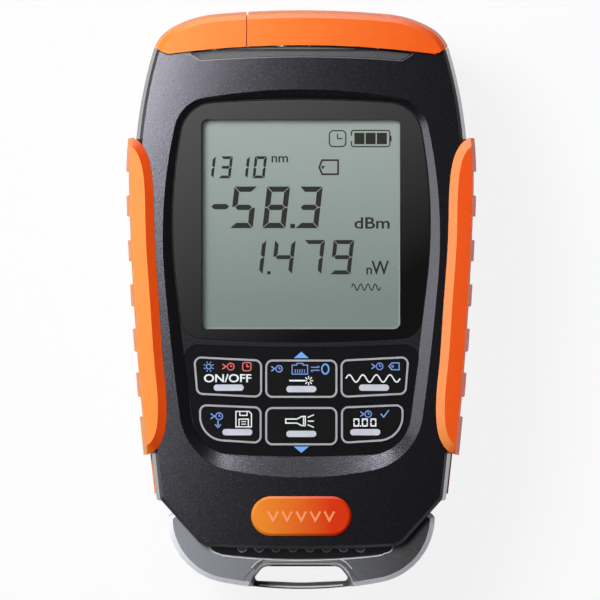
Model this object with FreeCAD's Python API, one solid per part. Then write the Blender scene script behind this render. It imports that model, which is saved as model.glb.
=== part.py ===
import FreeCAD, Part
import math
import os

Vector = FreeCAD.Vector

# ---------------------------------------------------------------- driving dimensions (mm)
# Frame: the meter lies on its back. +X right, +Y towards the ports, +Z out of the display side.
# An outline starts at X = 0, Y = TOP, heads +X and follows tangent runs down the right side. Each
# run is an arc of a radius through a turn in degrees, or a straight length where the turn is 0.
# The last arc closes on X = 0 and its radius follows; the left side is the mirror image.
BODY_TOP = 60.0
BODY_RUNS = [195.4, 21.9, 7.97, 93.5, 716.4, 2.05, 11.1, 4.67]
BODY_TURNS = [5.28, 25.2, 42.8, 18.3, 5.06, 35.18, 0, 44.7]
BASIN_TOP = 41.5
BASIN_RUNS = [253.8, 7.26, 102.6, 27.94, 9.09]
BASIN_TURNS = [4.15, 75.12, 17.59, 0, 81.1]
RIM_TOP = 43.85
RIM_RUNS = [165.2, 7.04, 116.9, 28.2, 13.04]
RIM_TURNS = [7.55, 72.13, 16.21, 0, 76.59]
LENS_RUNS = [253.8, 7.26, 102.6, 8.0, 4.51]
LENS_TURNS = [4.15, 75.12, 17.59, 0, 79.08]
KEYPAD_TOP = -9.7
KEYPAD_RUNS = [-417.5, 3.02, 12.85, 7.74]
KEYPAD_TURNS = [-2.91, 101.68, 0, 77.21]
TESTER_END = -60.0
TESTER_RUNS = [86.5, 13.7]
TESTER_TURNS = [11.0, 79.0]
BODY = (BODY_TOP, BODY_RUNS, BODY_TURNS)
BASIN_FLOOR = (BASIN_TOP, BASIN_RUNS, BASIN_TURNS)
BASIN_RIM = (RIM_TOP, RIM_RUNS, RIM_TURNS)
LENS = (BASIN_TOP, LENS_RUNS, LENS_TURNS)
KEYPAD = (KEYPAD_TOP, KEYPAD_RUNS, KEYPAD_TURNS)

REACH = 90.0  # past every face of the meter, for cuts that run out of it
WALL = 2.2
PARTING_Z = 14.0
PARTING_GAP = 0.04
CROWN_Z = 30.0
CROWN_RADIUS_X = 260.0
CROWN_RADIUS_Y = 694.0
FRONT_DRAFT = 1.25
REAR_DRAFT = 1.0
FRONT_EDGE = 0.6
REAR_EDGE = 0.9
SEAT_GAP = 0.1
LEAST_R = 0.3

# basin, lens and keypad recess in the front, down from the crown
RIM_DEPTH = 0.9
FLOOR_DEPTH = 3.3
FLOOR_T = 2.0
RIM_Z = CROWN_Z - RIM_DEPTH
FLOOR_Z = CROWN_Z - FLOOR_DEPTH
FLOOR_BACK_Z = FLOOR_Z - FLOOR_T
BACKING_MARGIN = 1.5
POCKET_INSET = 0.2
LENS_T = 1.2
WINDOW_X = 21.2
WINDOW_Y = (-6.9, 38.0)
KEYPAD_PROUD = 0.1
KEYPAD_T = 1.0
KEYPAD_LEDGE = 0.9
KEYPAD_BASE_Z = FLOOR_Z + KEYPAD_PROUD - KEYPAD_T

# keys: corners clockwise from top left, a radius per corner (outline is the centre of the rim)
KEY_CORNER_R = 1.3
KEY_TOP_LEFT = [(-22.1, -11.9), (-8.3, -12.6), (-8.3, -20.1), (-21.5, -19.45)]
KEY_TOP_MID = [(-7.25, -12.6), (7.25, -12.6), (7.25, -20.1), (-7.25, -20.1)]
KEY_LOW_LEFT = [(-20.9, -21.8), (-8.4, -22.3), (-8.4, -29.6), (-20.9, -28.8)]
KEY_LOW_MID = [(-7.25, -22.4), (7.25, -22.4), (7.25, -29.9), (-7.25, -29.9)]
KEY_LOW_OUTER_R = 5.0
KEY_RIM_W = 0.4
KEY_RIM_H = 0.1
KEY_RISE = 0.35
KEY_TOP_Z = FLOOR_Z + KEY_RISE
KEY_GAP = 0.12
KEY_FLANGE_W = 0.27
KEY_FLANGE_T = 0.85
KEY_FLANGE_PLAY = 0.05
KEY_FLANGE_Z = KEYPAD_BASE_Z - KEY_FLANGE_PLAY - KEY_FLANGE_T
KEY_STEM_R = 1.6
KEY_STEM_L = 1.5
KEY_STEM_Z = KEY_FLANGE_Z - KEY_STEM_L
KEY_BAR = (6.2, 1.3)
KEY_BAR_DEPTH = 0.6
KEY_BAR_FIT = 0.02
DOME_R = 3.0
DOME_WALL = 0.6

# display and board, stacked down from the back of the floor
GLASS = (21.5, -7.2, 38.4)
GLASS_GAP = 0.2
GLASS_T = 2.0
BACKLIGHT_T = 2.4
BOARD_T = 1.6
GLASS_TOP_Z = FLOOR_BACK_Z - GLASS_GAP
GLASS_BASE_Z = GLASS_TOP_Z - GLASS_T
BOARD_TOP_Z = GLASS_BASE_Z - BACKLIGHT_T
BOARD_BASE_Z = BOARD_TOP_Z - BOARD_T
BACKLIGHT_INSET = 0.5
FRAME_WALL = 1.5
FRAME_GAP = 0.2
BOARD_OUTLINE = [(24.6, 45.5), (24.6, 36.0), (26.8, 36.0), (26.8, -22.0), (22.9, -24.5), (22.9, -30.8)]
POST_R = 1.7
BOARD_SCREW_R = 0.9
SCREW_HEAD_T = 1.3
BATTERY = (17.0, -29.0, 22.0)
BATTERY_T = 6.2
PAD_T = 0.6
CASE_SCREWS = [(27.6, 41.0), (26.0, -28.0)]
BOSS_R = 2.9
FRONT_BOSS_R = 2.5
CASE_SCREW_R = 1.25
CASE_HEAD_R = 2.2
CASE_HEAD_Z = (3.0, 4.8)
CASE_SCREW_DEPTH = 8.0
CASE_SCREW_TOP_Z = CROWN_Z - CASE_SCREW_DEPTH
THREAD_FIT = 0.05
HEAD_FIT = 0.2

# side grips
GRIP_EDGE = [(-34.6, 33.4), (-32.6, 31.6), (-31.3, 28.6), (-30.7, 25.0), (-30.3, 13.9), (-29.8, 5.3),
             (-29.1, -4.4), (-28.5, -13.0), (-27.85, -19.7), (-27.8, -24.3), (-28.3, -27.9),
             (-30.0, -31.0), (-33.0, -32.2)]
GRIP_PROUD = 1.7
GRIP_CROWN = 1.3
GRIP_BEVEL = 1.8
GRIP_RECESS = 1.0
GRIP_FIT = 0.04
GRIP_REAR_Z = 5.0
GRIP_NOTCH_Y = [24.0, 14.75, 5.5, -3.75, -13.0, -22.25]
GRIP_NOTCH = (3.0, 4.0, 0.55)
GRIP_NOTCH_X = (-45.0, -30.0)
GRIP_NOTCH_REAR_Z = 6.5
GRIP_NOTCH_FRONT_DEPTH = 5.0
GRIP_TAIL_Y = -40.3
GRIP_TAIL_PROUD = 0.45
GRIP_TAIL_Z = 12.0

# port end and covers
PANEL_Y = (45.9, 47.7)
LIP_Y = 47.8
LIP = 1.0
REAR_END_Y = 48.7
FERRULE_R = 1.26
FERRULE_STOP_Y = 48.0
ADAPTER_X = -3.0
ADAPTER_R = 4.0
ADAPTER_FLANGE_R = 6.0
ADAPTER_TIP_Y = 57.0
LOCATOR_X = -17.0
LOCATOR_R = 3.6
LOCATOR_FLANGE_R = 4.2
LOCATOR_TIP_Y = 55.5
MODULE_R = 4.0
MODULE_BOARD_GAP = 0.2
MODULE_BATTERY_GAP = 1.0
MODULE_END_Y = 44.0
DETECTOR_Y = (34.0, 43.0)
ADAPTER_KEYWAY = (2.1, 3.5, 2.2)
PORT_Z = BOARD_BASE_Z - MODULE_BOARD_GAP - MODULE_R
FLANGE_T = 1.4
PORT_FIT = 0.1
TORCH_X = -24.6
TORCH_BEZEL_R = 3.0
TORCH_LAMP_R = 2.5
JACK_X = 13.2
JACK_W = 15.9
JACK_H = 13.2
JACK_L = 16.0
JACK_PROUD = 2.0
JACK_MOUTH = (11.7, 6.8)
JACK_KEYWAY = (6.0, 3.4)
JACK_MOUTH_DEPTH = 12.5
JACK_SCREW_GAP = 0.05
CONTACT_PITCH = 1.02
CONTACT_W = 0.45
CONTACT_SETBACK = 3.0
USB_X = 12.8
USB_W = 7.5
USB_H = 2.7
BOARD_POSTS = [(JACK_X + JACK_W / 2 + JACK_SCREW_GAP + 2 * BOARD_SCREW_R, 43.2), (24.8, -11.2)]
COVER_SEAM_Y = 52.5
COVER_SEAM_R = 209.0
COVER_SEAM_X = 27.4
COVER_TIP = [(29.3, 51.45), (30.8, 53.2)]
COVER_GAP = 0.2
COVER_WALL = 1.5
COVER_PROUD = 0.8
COVER_EDGE = 0.9
COVER_SPLIT_X = -11.2
COVER_SPLIT_GAP = 0.12
COVER_GROOVE = (0.4, 0.6)
COVER_FLOOR_Z = 0.2
HINGE_Y = 51.5
HINGE_Z = 2.3
KNUCKLE_R = 2.1
KNUCKLE_CLEAR_R = 2.6
KNUCKLE_GAP = 0.12
KNUCKLE_NOTCH = 1.1
PIN_R = 0.75
PIN_RUN_FIT = 0.05
PIN_SEAT_FIT = 0.01
PIN_X = 27.0
HOUSING_LUGS = [(-22.8, -16.6), (-5.3, 1.5), (16.0, 22.6)]
FINGER_PLAN = [(-23.2, 51.6), (-22.6, 50.6), (-20.8, 49.4), (20.8, 49.4), (22.6, 50.6), (23.2, 51.6)]
FINGER_MID_Y = 50.2
FINGER_DEPTH = 1.0

# release button, latch and dock, stacked down from the crown
BUTTON_Y = -44.7
BUTTON = (20.7, 8.2)
BUTTON_FIT = 0.15
BUTTON_PROUD = 0.6
BUTTON_EDGE = 0.5
BUTTON_FLANGE = (0.9, 2.3)
BUTTON_FLANGE_DEPTH = 4.4
BUTTON_FLANGE_T = 0.9
BUTTON_FLANGE_Z = CROWN_Z - BUTTON_FLANGE_DEPTH - BUTTON_FLANGE_T
BUTTON_NUB = (4.0, 0.6)
BUTTON_RELIEF_Y = -42.4
BUTTON_RELIEF_GAP = 0.2
SPRING_L = 2.5
SPRING_X = 6.5
SPRING_R = 1.2
SPRING_WIRE = 0.5
SPRING_TURNS = 2.5
DOCK_WALL = 1.2
DOCK_FLOOR_T = 2.2
DOCK_TOP_Z = BUTTON_FLANGE_Z - SPRING_L
DOCK_ROOF_Z = DOCK_TOP_Z - DOCK_WALL
DOCK_Y = (-43.0, -31.0)
SHELF_HALF = 19.8
SHELF_Y = -49.2
MOUTH_Y = -41.6
LEVER_Y = (-46.0, -34.9)
LEVER_HALF = 4.5
LEVER_LIFT = 0.2
LEVER_T = 1.1
LEVER_NUB_GAP = 0.05
LEVER_Z = DOCK_TOP_Z + LEVER_LIFT
PIVOT_Y = -40.5
PIVOT_R = 0.8
PIVOT_HALF = 7.2
EAR = (5.6, 7.2, 1.6, 2.0)
HOOK_HALF = 2.5
HOOK_T = 1.2
HOOK_REACH = 0.9
HOOK_Z = DOCK_ROOF_Z - HOOK_REACH

# removable tester
TESTER_BACK_Z = 3.0
TESTER_FRONT_Z = BUTTON_FLANGE_Z
TESTER_SHOULDER_Y = -43.2
TESTER_CORNER = 2.0
TESTER_EDGE = 1.0
TESTER_FIT = 0.1
TONGUE_HALF = 24.0
TONGUE_Y = -32.5
TONGUE_BASE_Z = WALL + DOCK_FLOOR_T + TESTER_FIT
TONGUE_TOP_Z = DOCK_ROOF_Z - TESTER_FIT
TESTER_WALL = 1.6
TESTER_ROOF_T = 1.9
BAY = (20.5, -50.0)
CHANNEL = (3.0, -36.5, 0.4)
TESTER_CAVITY = (22.4, -52.6, -34.1)
TESTER_ROOF_Z = TONGUE_TOP_Z - TESTER_ROOF_T
TESTER_FLOOR_Z = TONGUE_BASE_Z + TESTER_WALL
TESTER_HEAD_FLOOR_Z = TESTER_BACK_Z + TESTER_WALL
TESTER_JACK_GAP = 0.2
TESTER_JACK_L = 15.4
TESTER_BOARD = (17.8, -52.4, -34.2, 1.2)
TESTER_WINDOW_TOP = (19.1, -50.4)
TESTER_WINDOW_END = (18.2, -51.85)
TESTER_WINDOW_SIDE = (15.9, -52.65)
TESTER_WINDOW_Y = -53.6
TESTER_WINDOW_T = 0.8
LAMP_PITCH = 3.49
LAMP_COUNT = 8
LAMP_Y = -51.2
LAMP_R = 0.95
TESTER_SCREW = (20.2, -47.0)
TESTER_SCREW_R = 1.0
TESTER_SCREW_TIP = 1.0
TESTER_HEAD_R = 1.9
SLOT = [(-7.9, -55.3), (7.9, -55.3), (10.3, -58.3), (0.0, -58.75), (-10.3, -58.3)]
SLOT_R = [2.0, 2.0, 0.7, 40.0, 0.7]
FLARE_OUTER = [(-8.7, -54.2), (8.7, -54.2), (12.9, -63.0), (-12.9, -63.0)]
FLARE_INNER = [(-8.0, -55.0), (8.0, -55.0), (11.3, -63.0), (-11.3, -63.0)]
FLARE_R = [4.0, 4.0, 0.5, 0.5]
LANYARD_BAR_T = 4.6


# ---------------------------------------------------------------- helpers
def box(x0, x1, y0, y1, z0, z1):
    return Part.makeBox(x1 - x0, y1 - y0, z1 - z0, Vector(x0, y0, z0))


def slab(y0, y1, z0=-REACH, z1=REACH):
    """Box over the full width."""
    return box(-REACH, REACH, y0, y1, z0, z1)


def disc(x, y, z0, z1, radius):
    return Part.makeCylinder(radius, z1 - z0, Vector(x, y, z0))


def rod_y(x, z, y0, y1, radius):
    return Part.makeCylinder(radius, y1 - y0, Vector(x, y0, z), Vector(0, 1, 0))


def rod_x(y, z, x0, x1, radius):
    return Part.makeCylinder(radius, x1 - x0, Vector(x0, y, z), Vector(1, 0, 0))


def mirrored(shape):
    return shape.mirror(Vector(0, 0, 0), Vector(1, 0, 0))


def both_sides(shape):
    return Part.makeCompound([shape, mirrored(shape)])


def arc(a, b, c):
    return Part.Arc(a, b, c).toShape()


def prism(wire, height):
    return Part.Face(wire).extrude(Vector(0, 0, height))


def polygon(points, z):
    corners = [Vector(x, y, z) for x, y in points]
    return Part.makePolygon(corners + corners[:1])


def flip(point):
    return Vector(-point.x, point.y, point.z)


def trace(top, runs, turns, z, grow):
    """Points (start, middle or None, end) of the runs down the right side, and the last heading."""
    point = Vector(0, top + grow, z)
    heading = 0.0
    steps = []
    for run, degrees in zip(runs, turns):
        if degrees == 0:
            middle = None
            end = point + Vector(math.cos(heading), math.sin(heading), 0) * run
        else:
            radius = run + grow
            if run > 0:
                radius = max(radius, LEAST_R)
            turn = math.radians(degrees)
            centre = point + Vector(math.sin(heading), -math.cos(heading), 0) * radius
            half = heading - turn / 2
            heading -= turn
            middle = centre - Vector(math.sin(half), -math.cos(half), 0) * radius
            end = centre - Vector(math.sin(heading), -math.cos(heading), 0) * radius
        steps.append((point, middle, end))
        point = end
    return steps, heading


def edge_of(step):
    start, middle, end = step
    if middle is None:
        return Part.makeLine(start, end)
    return arc(start, middle, end)


def flipped_edge(step):
    start, middle, end = step
    return edge_of((flip(end), middle and flip(middle), flip(start)))


def outline(spec, z, grow=0.0):
    """Closed symmetric wire of an outline at height z, moved outwards by grow."""
    steps, heading = trace(*spec, z, grow)
    first, sides = steps[0], steps[1:]
    last = steps[-1][2]
    radius = last.x / -math.sin(heading)
    bottom = Vector(0, last.y - math.cos(heading) * radius - radius, z)
    edges = [arc(flip(first[2]), first[0], first[2])]
    edges += [edge_of(step) for step in sides]
    edges.append(arc(last, bottom, flip(last)))
    edges += [flipped_edge(step) for step in reversed(sides)]
    return Part.Wire(edges)


def crown(grow=0.0):
    """Everything below the crowned front surface, which is moved outwards by grow."""
    radius = CROWN_RADIUS_X + grow
    centre_z = CROWN_Z - CROWN_RADIUS_X
    edge_z = centre_z + math.sqrt(radius ** 2 - REACH ** 2)
    left, right = Vector(-REACH, 0, edge_z), Vector(REACH, 0, edge_z)
    top = arc(left, Vector(0, 0, centre_z + radius), right)
    rest = Part.makePolygon([right, Vector(REACH, 0, -REACH), Vector(-REACH, 0, -REACH), left])
    axis_point, axis = Vector(0, 0, CROWN_Z - CROWN_RADIUS_Y), Vector(1, 0, 0)
    swing = math.degrees(REACH / CROWN_RADIUS_Y)
    section = Part.Face(Part.Wire([top] + rest.Edges))
    section.rotate(axis_point, axis, -swing)
    return section.revolve(axis_point, axis, 2 * swing)


def block(grow=0.0, crown_grow=0.0, z0=0.0, z1=REACH):
    """The whole body between two heights, its sides and its front moved outwards."""
    sections = [outline(BODY, 0, grow - REAR_DRAFT), outline(BODY, PARTING_Z, grow),
                outline(BODY, CROWN_Z + 2, grow - FRONT_DRAFT)]
    sides = Part.makeLoft(sections, True, True)
    return sides.common(crown(crown_grow)).common(slab(-REACH, REACH, z0, z1))


def rounded(points, radii, z):
    """Closed wire through the corners, each rounded by its radius."""
    edges = []
    ends = []
    count = len(points)
    for i in range(count):
        corner = Vector(points[i][0], points[i][1], z)
        before = (Vector(points[i - 1][0], points[i - 1][1], z) - corner).normalize()
        after = (Vector(*points[(i + 1) % count], z) - corner).normalize()
        half = before.getAngle(after) / 2
        reach = radii[i] / math.tan(half)
        inward = (before + after).normalize()
        middle = corner + inward * (radii[i] / math.sin(half) - radii[i])
        ends.append((corner + before * reach, middle, corner + after * reach))
    for i in range(count):
        edges.append(arc(*ends[i]))
        edges.append(Part.makeLine(ends[i][2], ends[(i + 1) % count][0]))
    return Part.Wire(edges)


def pill(x, y, length, width, z0, z1, grow=0.0):
    radius = width / 2 + grow
    half = (length - width) / 2
    core = box(x - half, x + half, y - radius, y + radius, z0, z1)
    return core.fuse([disc(x - half, y, z0, z1, radius), disc(x + half, y, z0, z1, radius)]).removeSplitter()


def edges_near_z(shape, low, high):
    """Edges lying wholly between two heights."""
    return [e for e in shape.Edges if low < e.BoundBox.ZMin and e.BoundBox.ZMax < high]


def export(name, shape):
    solids = [solid for solid in shape.Solids]
    kept = solids[0] if len(solids) == 1 else Part.makeCompound(solids)
    kept.exportStep("parts/" + name + ".step")


# ---------------------------------------------------------------- shared zones
def cover_zone(shift=0.0):
    """Plan region of the hinged covers, its lower seam moved by shift along Y."""
    def at(x, y):
        return Vector(x, y + shift, -REACH)
    seam_end_y = COVER_SEAM_Y - COVER_SEAM_X ** 2 / (2 * COVER_SEAM_R)
    tip, top = COVER_TIP
    right_end, left_end = at(COVER_SEAM_X, seam_end_y), at(-COVER_SEAM_X, seam_end_y)
    seam = arc(left_end, at(0, COVER_SEAM_Y), right_end)
    right = arc(right_end, at(*tip), at(*top))
    left = arc(at(-top[0], top[1]), at(-tip[0], tip[1]), left_end)
    around = Part.makePolygon([at(*top), at(REACH, top[1]), at(REACH, REACH), at(-REACH, REACH),
                               at(-REACH, top[1]), at(-top[0], top[1])])
    return prism(Part.Wire([seam, right] + around.Edges + [left]), 2 * REACH)


def grip_zone(grow=0.0):
    """Plan region of the left grip, its inner edge moved outwards by grow."""
    points = [Vector(x + grow, y, GRIP_REAR_Z) for x, y in GRIP_EDGE]
    curve = Part.BSplineCurve()
    curve.interpolate(points)
    inner = curve.toShape()
    first, last = points[0], points[-1]
    outer = Part.makePolygon([last, last + Vector(-REACH, 0.6, 0), first + Vector(-REACH, 0.6, 0), first])
    return prism(Part.Wire([inner] + outer.Edges), REACH)


def grip_recess():
    """Room for both grips, cut into the sides of either cover."""
    zone = grip_zone().cut(block(-GRIP_RECESS, -GRIP_RECESS))
    return both_sides(zone)


# ---------------------------------------------------------------- housing
def basin():
    lower = Part.makeLoft([outline(BASIN_FLOOR, FLOOR_Z), outline(BASIN_RIM, RIM_Z)], True, True)
    return lower.fuse(prism(outline(BASIN_RIM, RIM_Z), REACH))


def finger_recess():
    corners = [Vector(x, y, PARTING_Z) for x, y in FINGER_PLAN]
    lower = arc(corners[2], Vector(0, FINGER_MID_Y, PARTING_Z), corners[3])
    lines = [Part.makeLine(corners[i], corners[(i + 1) % 6]) for i in (3, 4, 5, 0, 1)]
    return prism(Part.Wire([lower] + lines), REACH).cut(crown(-FINGER_DEPTH))


def post(x, y, z0, radius, hole_r):
    return disc(x, y, z0, CROWN_Z, radius), disc(x, y, z0 - 1, FLOOR_BACK_Z + 0.6, hole_r)


def front_cover():
    body = block(z0=PARTING_Z)
    body = body.makeChamfer(FRONT_EDGE, edges_near_z(body, PARTING_Z + WALL, REACH))
    cavity = block(-WALL, -WALL).cut(prism(outline(BASIN_RIM, FLOOR_BACK_Z, BACKING_MARGIN), REACH))
    mouth = block(-WALL - LIP, -WALL - LIP)
    body = body.cut([cavity.common(slab(-REACH, LIP_Y)), mouth.common(slab(LIP_Y, REACH))])
    solid_core = block(-WALL / 2, -WALL / 2)
    holes = []
    posts = []
    for x, y in BOARD_POSTS:
        post_solid, hole = post(x, y, BOARD_TOP_Z, POST_R, BOARD_SCREW_R + THREAD_FIT)
        posts.append(both_sides(post_solid.common(solid_core)))
        holes.append(both_sides(hole))
    for x, y in CASE_SCREWS:
        boss = disc(x, y, PARTING_Z, CROWN_Z, FRONT_BOSS_R).common(solid_core)
        posts.append(both_sides(boss))
        holes.append(both_sides(disc(x, y, PARTING_Z - 1, CASE_SCREW_TOP_Z + 0.4, CASE_SCREW_R + THREAD_FIT)))
    body = body.fuse(posts)
    lens_z = FLOOR_Z - LENS_T
    holes += [
        basin(),
        prism(outline(LENS, lens_z, -POCKET_INSET), REACH),
        box(-WINDOW_X, WINDOW_X, WINDOW_Y[0], WINDOW_Y[1], FLOOR_BACK_Z - 1, FLOOR_Z),
        prism(outline(KEYPAD, KEYPAD_BASE_Z, -POCKET_INSET / 2), REACH),
        prism(outline(KEYPAD, FLOOR_BACK_Z - 1, -KEYPAD_LEDGE), REACH),
        finger_recess(),
        pill(0, BUTTON_Y, BUTTON[0], BUTTON[1], BUTTON_FLANGE_Z, REACH, BUTTON_FIT),
        slab(-REACH, MOUTH_Y).common(crown(-WALL)),
        cover_zone(-COVER_GAP),
        grip_recess(),
    ]
    return body.cut(holes)


def rear_cover():
    body = block(z1=PARTING_Z - PARTING_GAP)
    body = body.makeChamfer(REAR_EDGE, edges_near_z(body, -0.1, 0.1))
    body = body.cut([block(-WALL, -WALL, WALL).common(slab(-REACH, LIP_Y)),
                     block(-WALL - LIP, -WALL, WALL + LIP).common(slab(LIP_Y, REACH))])
    holes = [slab(-REACH, MOUTH_Y, WALL), cover_zone(-COVER_GAP), grip_recess(),
             rod_x(HINGE_Y, HINGE_Z, -REACH, REACH, KNUCKLE_CLEAR_R), slab(REAR_END_Y, REACH, -REACH, HINGE_Z)]
    bosses = []
    for x, y in CASE_SCREWS:
        boss = disc(x, y, WALL / 2, PARTING_Z - PARTING_GAP, BOSS_R).common(block(-WALL / 2))
        bosses.append(both_sides(boss))
        holes.append(both_sides(disc(x, y, -1, CASE_HEAD_Z[1], CASE_HEAD_R + HEAD_FIT)))
        holes.append(both_sides(disc(x, y, -1, PARTING_Z, CASE_SCREW_R + 2 * THREAD_FIT)))
    body = body.fuse(bosses).cut(holes)
    lugs = []
    for x0, x1 in HOUSING_LUGS:
        arm = box(x0, x1, LIP_Y, HINGE_Y, COVER_FLOOR_Z + 0.1, WALL + LIP)
        lugs.append(arm.fuse(rod_x(HINGE_Y, HINGE_Z, x0, x1, KNUCKLE_R)))
    return body.fuse(lugs).cut(rod_x(HINGE_Y, HINGE_Z, -REACH, REACH, PIN_R + PIN_SEAT_FIT))


def left_grip():
    outer = block(GRIP_PROUD, GRIP_CROWN, GRIP_REAR_Z)
    core = block(GRIP_FIT - GRIP_RECESS, GRIP_FIT - GRIP_RECESS)
    shell = grip_zone(-GRIP_FIT).common(outer)
    inner_x = max(x for x, _ in GRIP_EDGE) - GRIP_BEVEL
    inner_edge = [e for e in shell.Edges if e.BoundBox.ZMin > PARTING_Z and e.BoundBox.YLength > GRIP_TAIL_PROUD
                  and e.BoundBox.XMax > inner_x]
    shell = shell.makeChamfer(GRIP_CROWN, GRIP_BEVEL, inner_edge).cut(core)
    width, mouth, depth = GRIP_NOTCH
    floor = block(GRIP_PROUD - depth, GRIP_CROWN)
    z1 = CROWN_Z - GRIP_NOTCH_FRONT_DEPTH
    x0, x1 = GRIP_NOTCH_X
    notches = []
    for y in GRIP_NOTCH_Y:
        plan = [(x0, y - mouth), (x1, y - width / 2), (x1, y + width / 2), (x0, y + mouth)]
        notches.append(prism(polygon(plan, GRIP_NOTCH_REAR_Z), z1 - GRIP_NOTCH_REAR_Z).cut(floor))
    tail = block(GRIP_TAIL_PROUD, 0, GRIP_REAR_Z, GRIP_TAIL_Z).cut(block(GRIP_FIT))
    tail = tail.common(box(-REACH, 0, GRIP_TAIL_Y, GRIP_EDGE[-1][1] + 1, GRIP_REAR_Z, GRIP_TAIL_Z))
    return shell.cut(notches).fuse(tail)


# ---------------------------------------------------------------- display and keys
def display_lens():
    return prism(outline(LENS, FLOOR_Z - LENS_T, -POCKET_INSET - SEAT_GAP), LENS_T)


def lcd_stack():
    half, y0, y1 = GLASS
    glass = box(-half, half, y0, y1, GLASS_BASE_Z, GLASS_TOP_Z)
    b = BACKLIGHT_INSET
    light = box(-half + b, half - b, y0 + b, y1 - b, BOARD_TOP_Z, GLASS_BASE_Z)
    w = FRAME_GAP + FRAME_WALL
    g = FRAME_GAP
    frame = box(-half - w, half + w, y0 - w, y1 + w, BOARD_TOP_Z, GLASS_TOP_Z + SEAT_GAP)
    frame = frame.cut([box(-half - g, half + g, y0 - g, y1 + g, BOARD_TOP_Z, REACH)])
    return glass, light, frame


def key_outline(points, radii, z, grow):
    wire = rounded(points, radii, z)
    return wire.makeOffset2D(grow) if grow else wire


def keys():
    """Name, outline corners, radii and bar centre of every key."""
    def flip_key(points):
        return [(-x, y) for x, y in (points[1], points[0], points[3], points[2])]
    even = [KEY_CORNER_R] * 4
    outer_left = [KEY_CORNER_R] * 3 + [KEY_LOW_OUTER_R]
    outer_right = [KEY_CORNER_R] * 2 + [KEY_LOW_OUTER_R, KEY_CORNER_R]
    return [("power", KEY_TOP_LEFT, even, (-15.0, -18.2)),
            ("locator", KEY_TOP_MID, even, (0.0, -18.5)),
            ("wavelength", flip_key(KEY_TOP_LEFT), even, (15.0, -18.2)),
            ("save", KEY_LOW_LEFT, outer_left, (-13.2, -27.4)),
            ("torch", KEY_LOW_MID, even, (0.0, -27.75)),
            ("reference", flip_key(KEY_LOW_LEFT), outer_right, (13.2, -27.4))]


def keypad_panel():
    plate = prism(outline(KEYPAD, KEYPAD_BASE_Z, -POCKET_INSET / 2 - SEAT_GAP), KEYPAD_T)
    grow = KEY_RIM_W / 2 + KEY_GAP
    return plate.cut([prism(key_outline(p, r, KEY_FLANGE_Z, grow), REACH) for _, p, r, _ in keys()])


def key_parts(points, radii, bar_at):
    """Cap, bright bar and dome of one key."""
    x, y = bar_at
    centre_x = sum(p[0] for p in points) / 4
    centre_y = sum(p[1] for p in points) / 4
    half_rim = KEY_RIM_W / 2
    face_z = KEY_TOP_Z - KEY_RIM_H
    cap = prism(key_outline(points, radii, KEY_FLANGE_Z, half_rim), KEY_TOP_Z - KEY_FLANGE_Z)
    flange = prism(key_outline(points, radii, KEY_FLANGE_Z, half_rim + KEY_FLANGE_W), KEY_FLANGE_T)
    stem = disc(centre_x, centre_y, KEY_STEM_Z, KEY_FLANGE_Z, KEY_STEM_R)
    cap = cap.fuse([flange, stem])
    cap = cap.cut([prism(key_outline(points, radii, face_z, -half_rim), 1),
                   pill(x, y, KEY_BAR[0], KEY_BAR[1], face_z - KEY_BAR_DEPTH, REACH, KEY_BAR_FIT)])
    bar = pill(x, y, KEY_BAR[0], KEY_BAR[1], face_z - KEY_BAR_DEPTH, KEY_TOP_Z)
    base_z = BOARD_TOP_Z
    shoulder = (KEY_STEM_Z - base_z) * 0.65
    outer = Part.makeCone(DOME_R, KEY_STEM_R, shoulder, Vector(centre_x, centre_y, base_z))
    inner = Part.makeCone(DOME_R - DOME_WALL, KEY_STEM_R - DOME_WALL, shoulder - DOME_WALL,
                          Vector(centre_x, centre_y, base_z))
    top = disc(centre_x, centre_y, base_z + shoulder, KEY_STEM_Z, KEY_STEM_R)
    return cap.removeSplitter(), bar, outer.fuse(top).cut(inner)


# ---------------------------------------------------------------- board, battery, screws
def main_board():
    plan = BOARD_OUTLINE + [(-x, y) for x, y in reversed(BOARD_OUTLINE)]
    hole_r = BOARD_SCREW_R + HEAD_FIT
    holes = [both_sides(disc(x, y, BOARD_BASE_Z - 1, BOARD_TOP_Z + 1, hole_r)) for x, y in BOARD_POSTS]
    return prism(polygon(plan, BOARD_BASE_Z), BOARD_T).cut(holes)


def screw(x, y, z0, head_t, head_r, shank_r, tip_z):
    """Pan-head screw driven upwards, with a cross recess in its head."""
    head = disc(x, y, z0, z0 + head_t, head_r)
    shank = disc(x, y, z0 + head_t, tip_z, shank_r)
    arm, half = head_r * 0.55, head_r * 0.13
    cross = [box(x - arm, x + arm, y - half, y + half, z0 - 1, z0 + head_t * 0.5),
             box(x - half, x + half, y - arm, y + arm, z0 - 1, z0 + head_t * 0.5)]
    return head.fuse(shank).cut(cross)


def screws():
    case = [both_sides(screw(x, y, CASE_HEAD_Z[0], CASE_HEAD_Z[1] - CASE_HEAD_Z[0], CASE_HEAD_R,
                             CASE_SCREW_R, CASE_SCREW_TOP_Z)) for x, y in CASE_SCREWS]
    board = [both_sides(screw(x, y, BOARD_BASE_Z - SCREW_HEAD_T, SCREW_HEAD_T, 2 * BOARD_SCREW_R,
                              BOARD_SCREW_R, FLOOR_BACK_Z)) for x, y in BOARD_POSTS]
    return Part.makeCompound(case), Part.makeCompound(board)


def battery():
    half, y0, y1 = BATTERY
    pad = box(-half, half, y0, y1, WALL, WALL + PAD_T)
    cell = box(-half, half, y0, y1, WALL + PAD_T, WALL + PAD_T + BATTERY_T)
    long_edges = [e for e in cell.Edges if e.BoundBox.YLength > (y1 - y0) / 2]
    return pad, cell.makeFillet(BATTERY_T * 0.4, long_edges)


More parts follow.
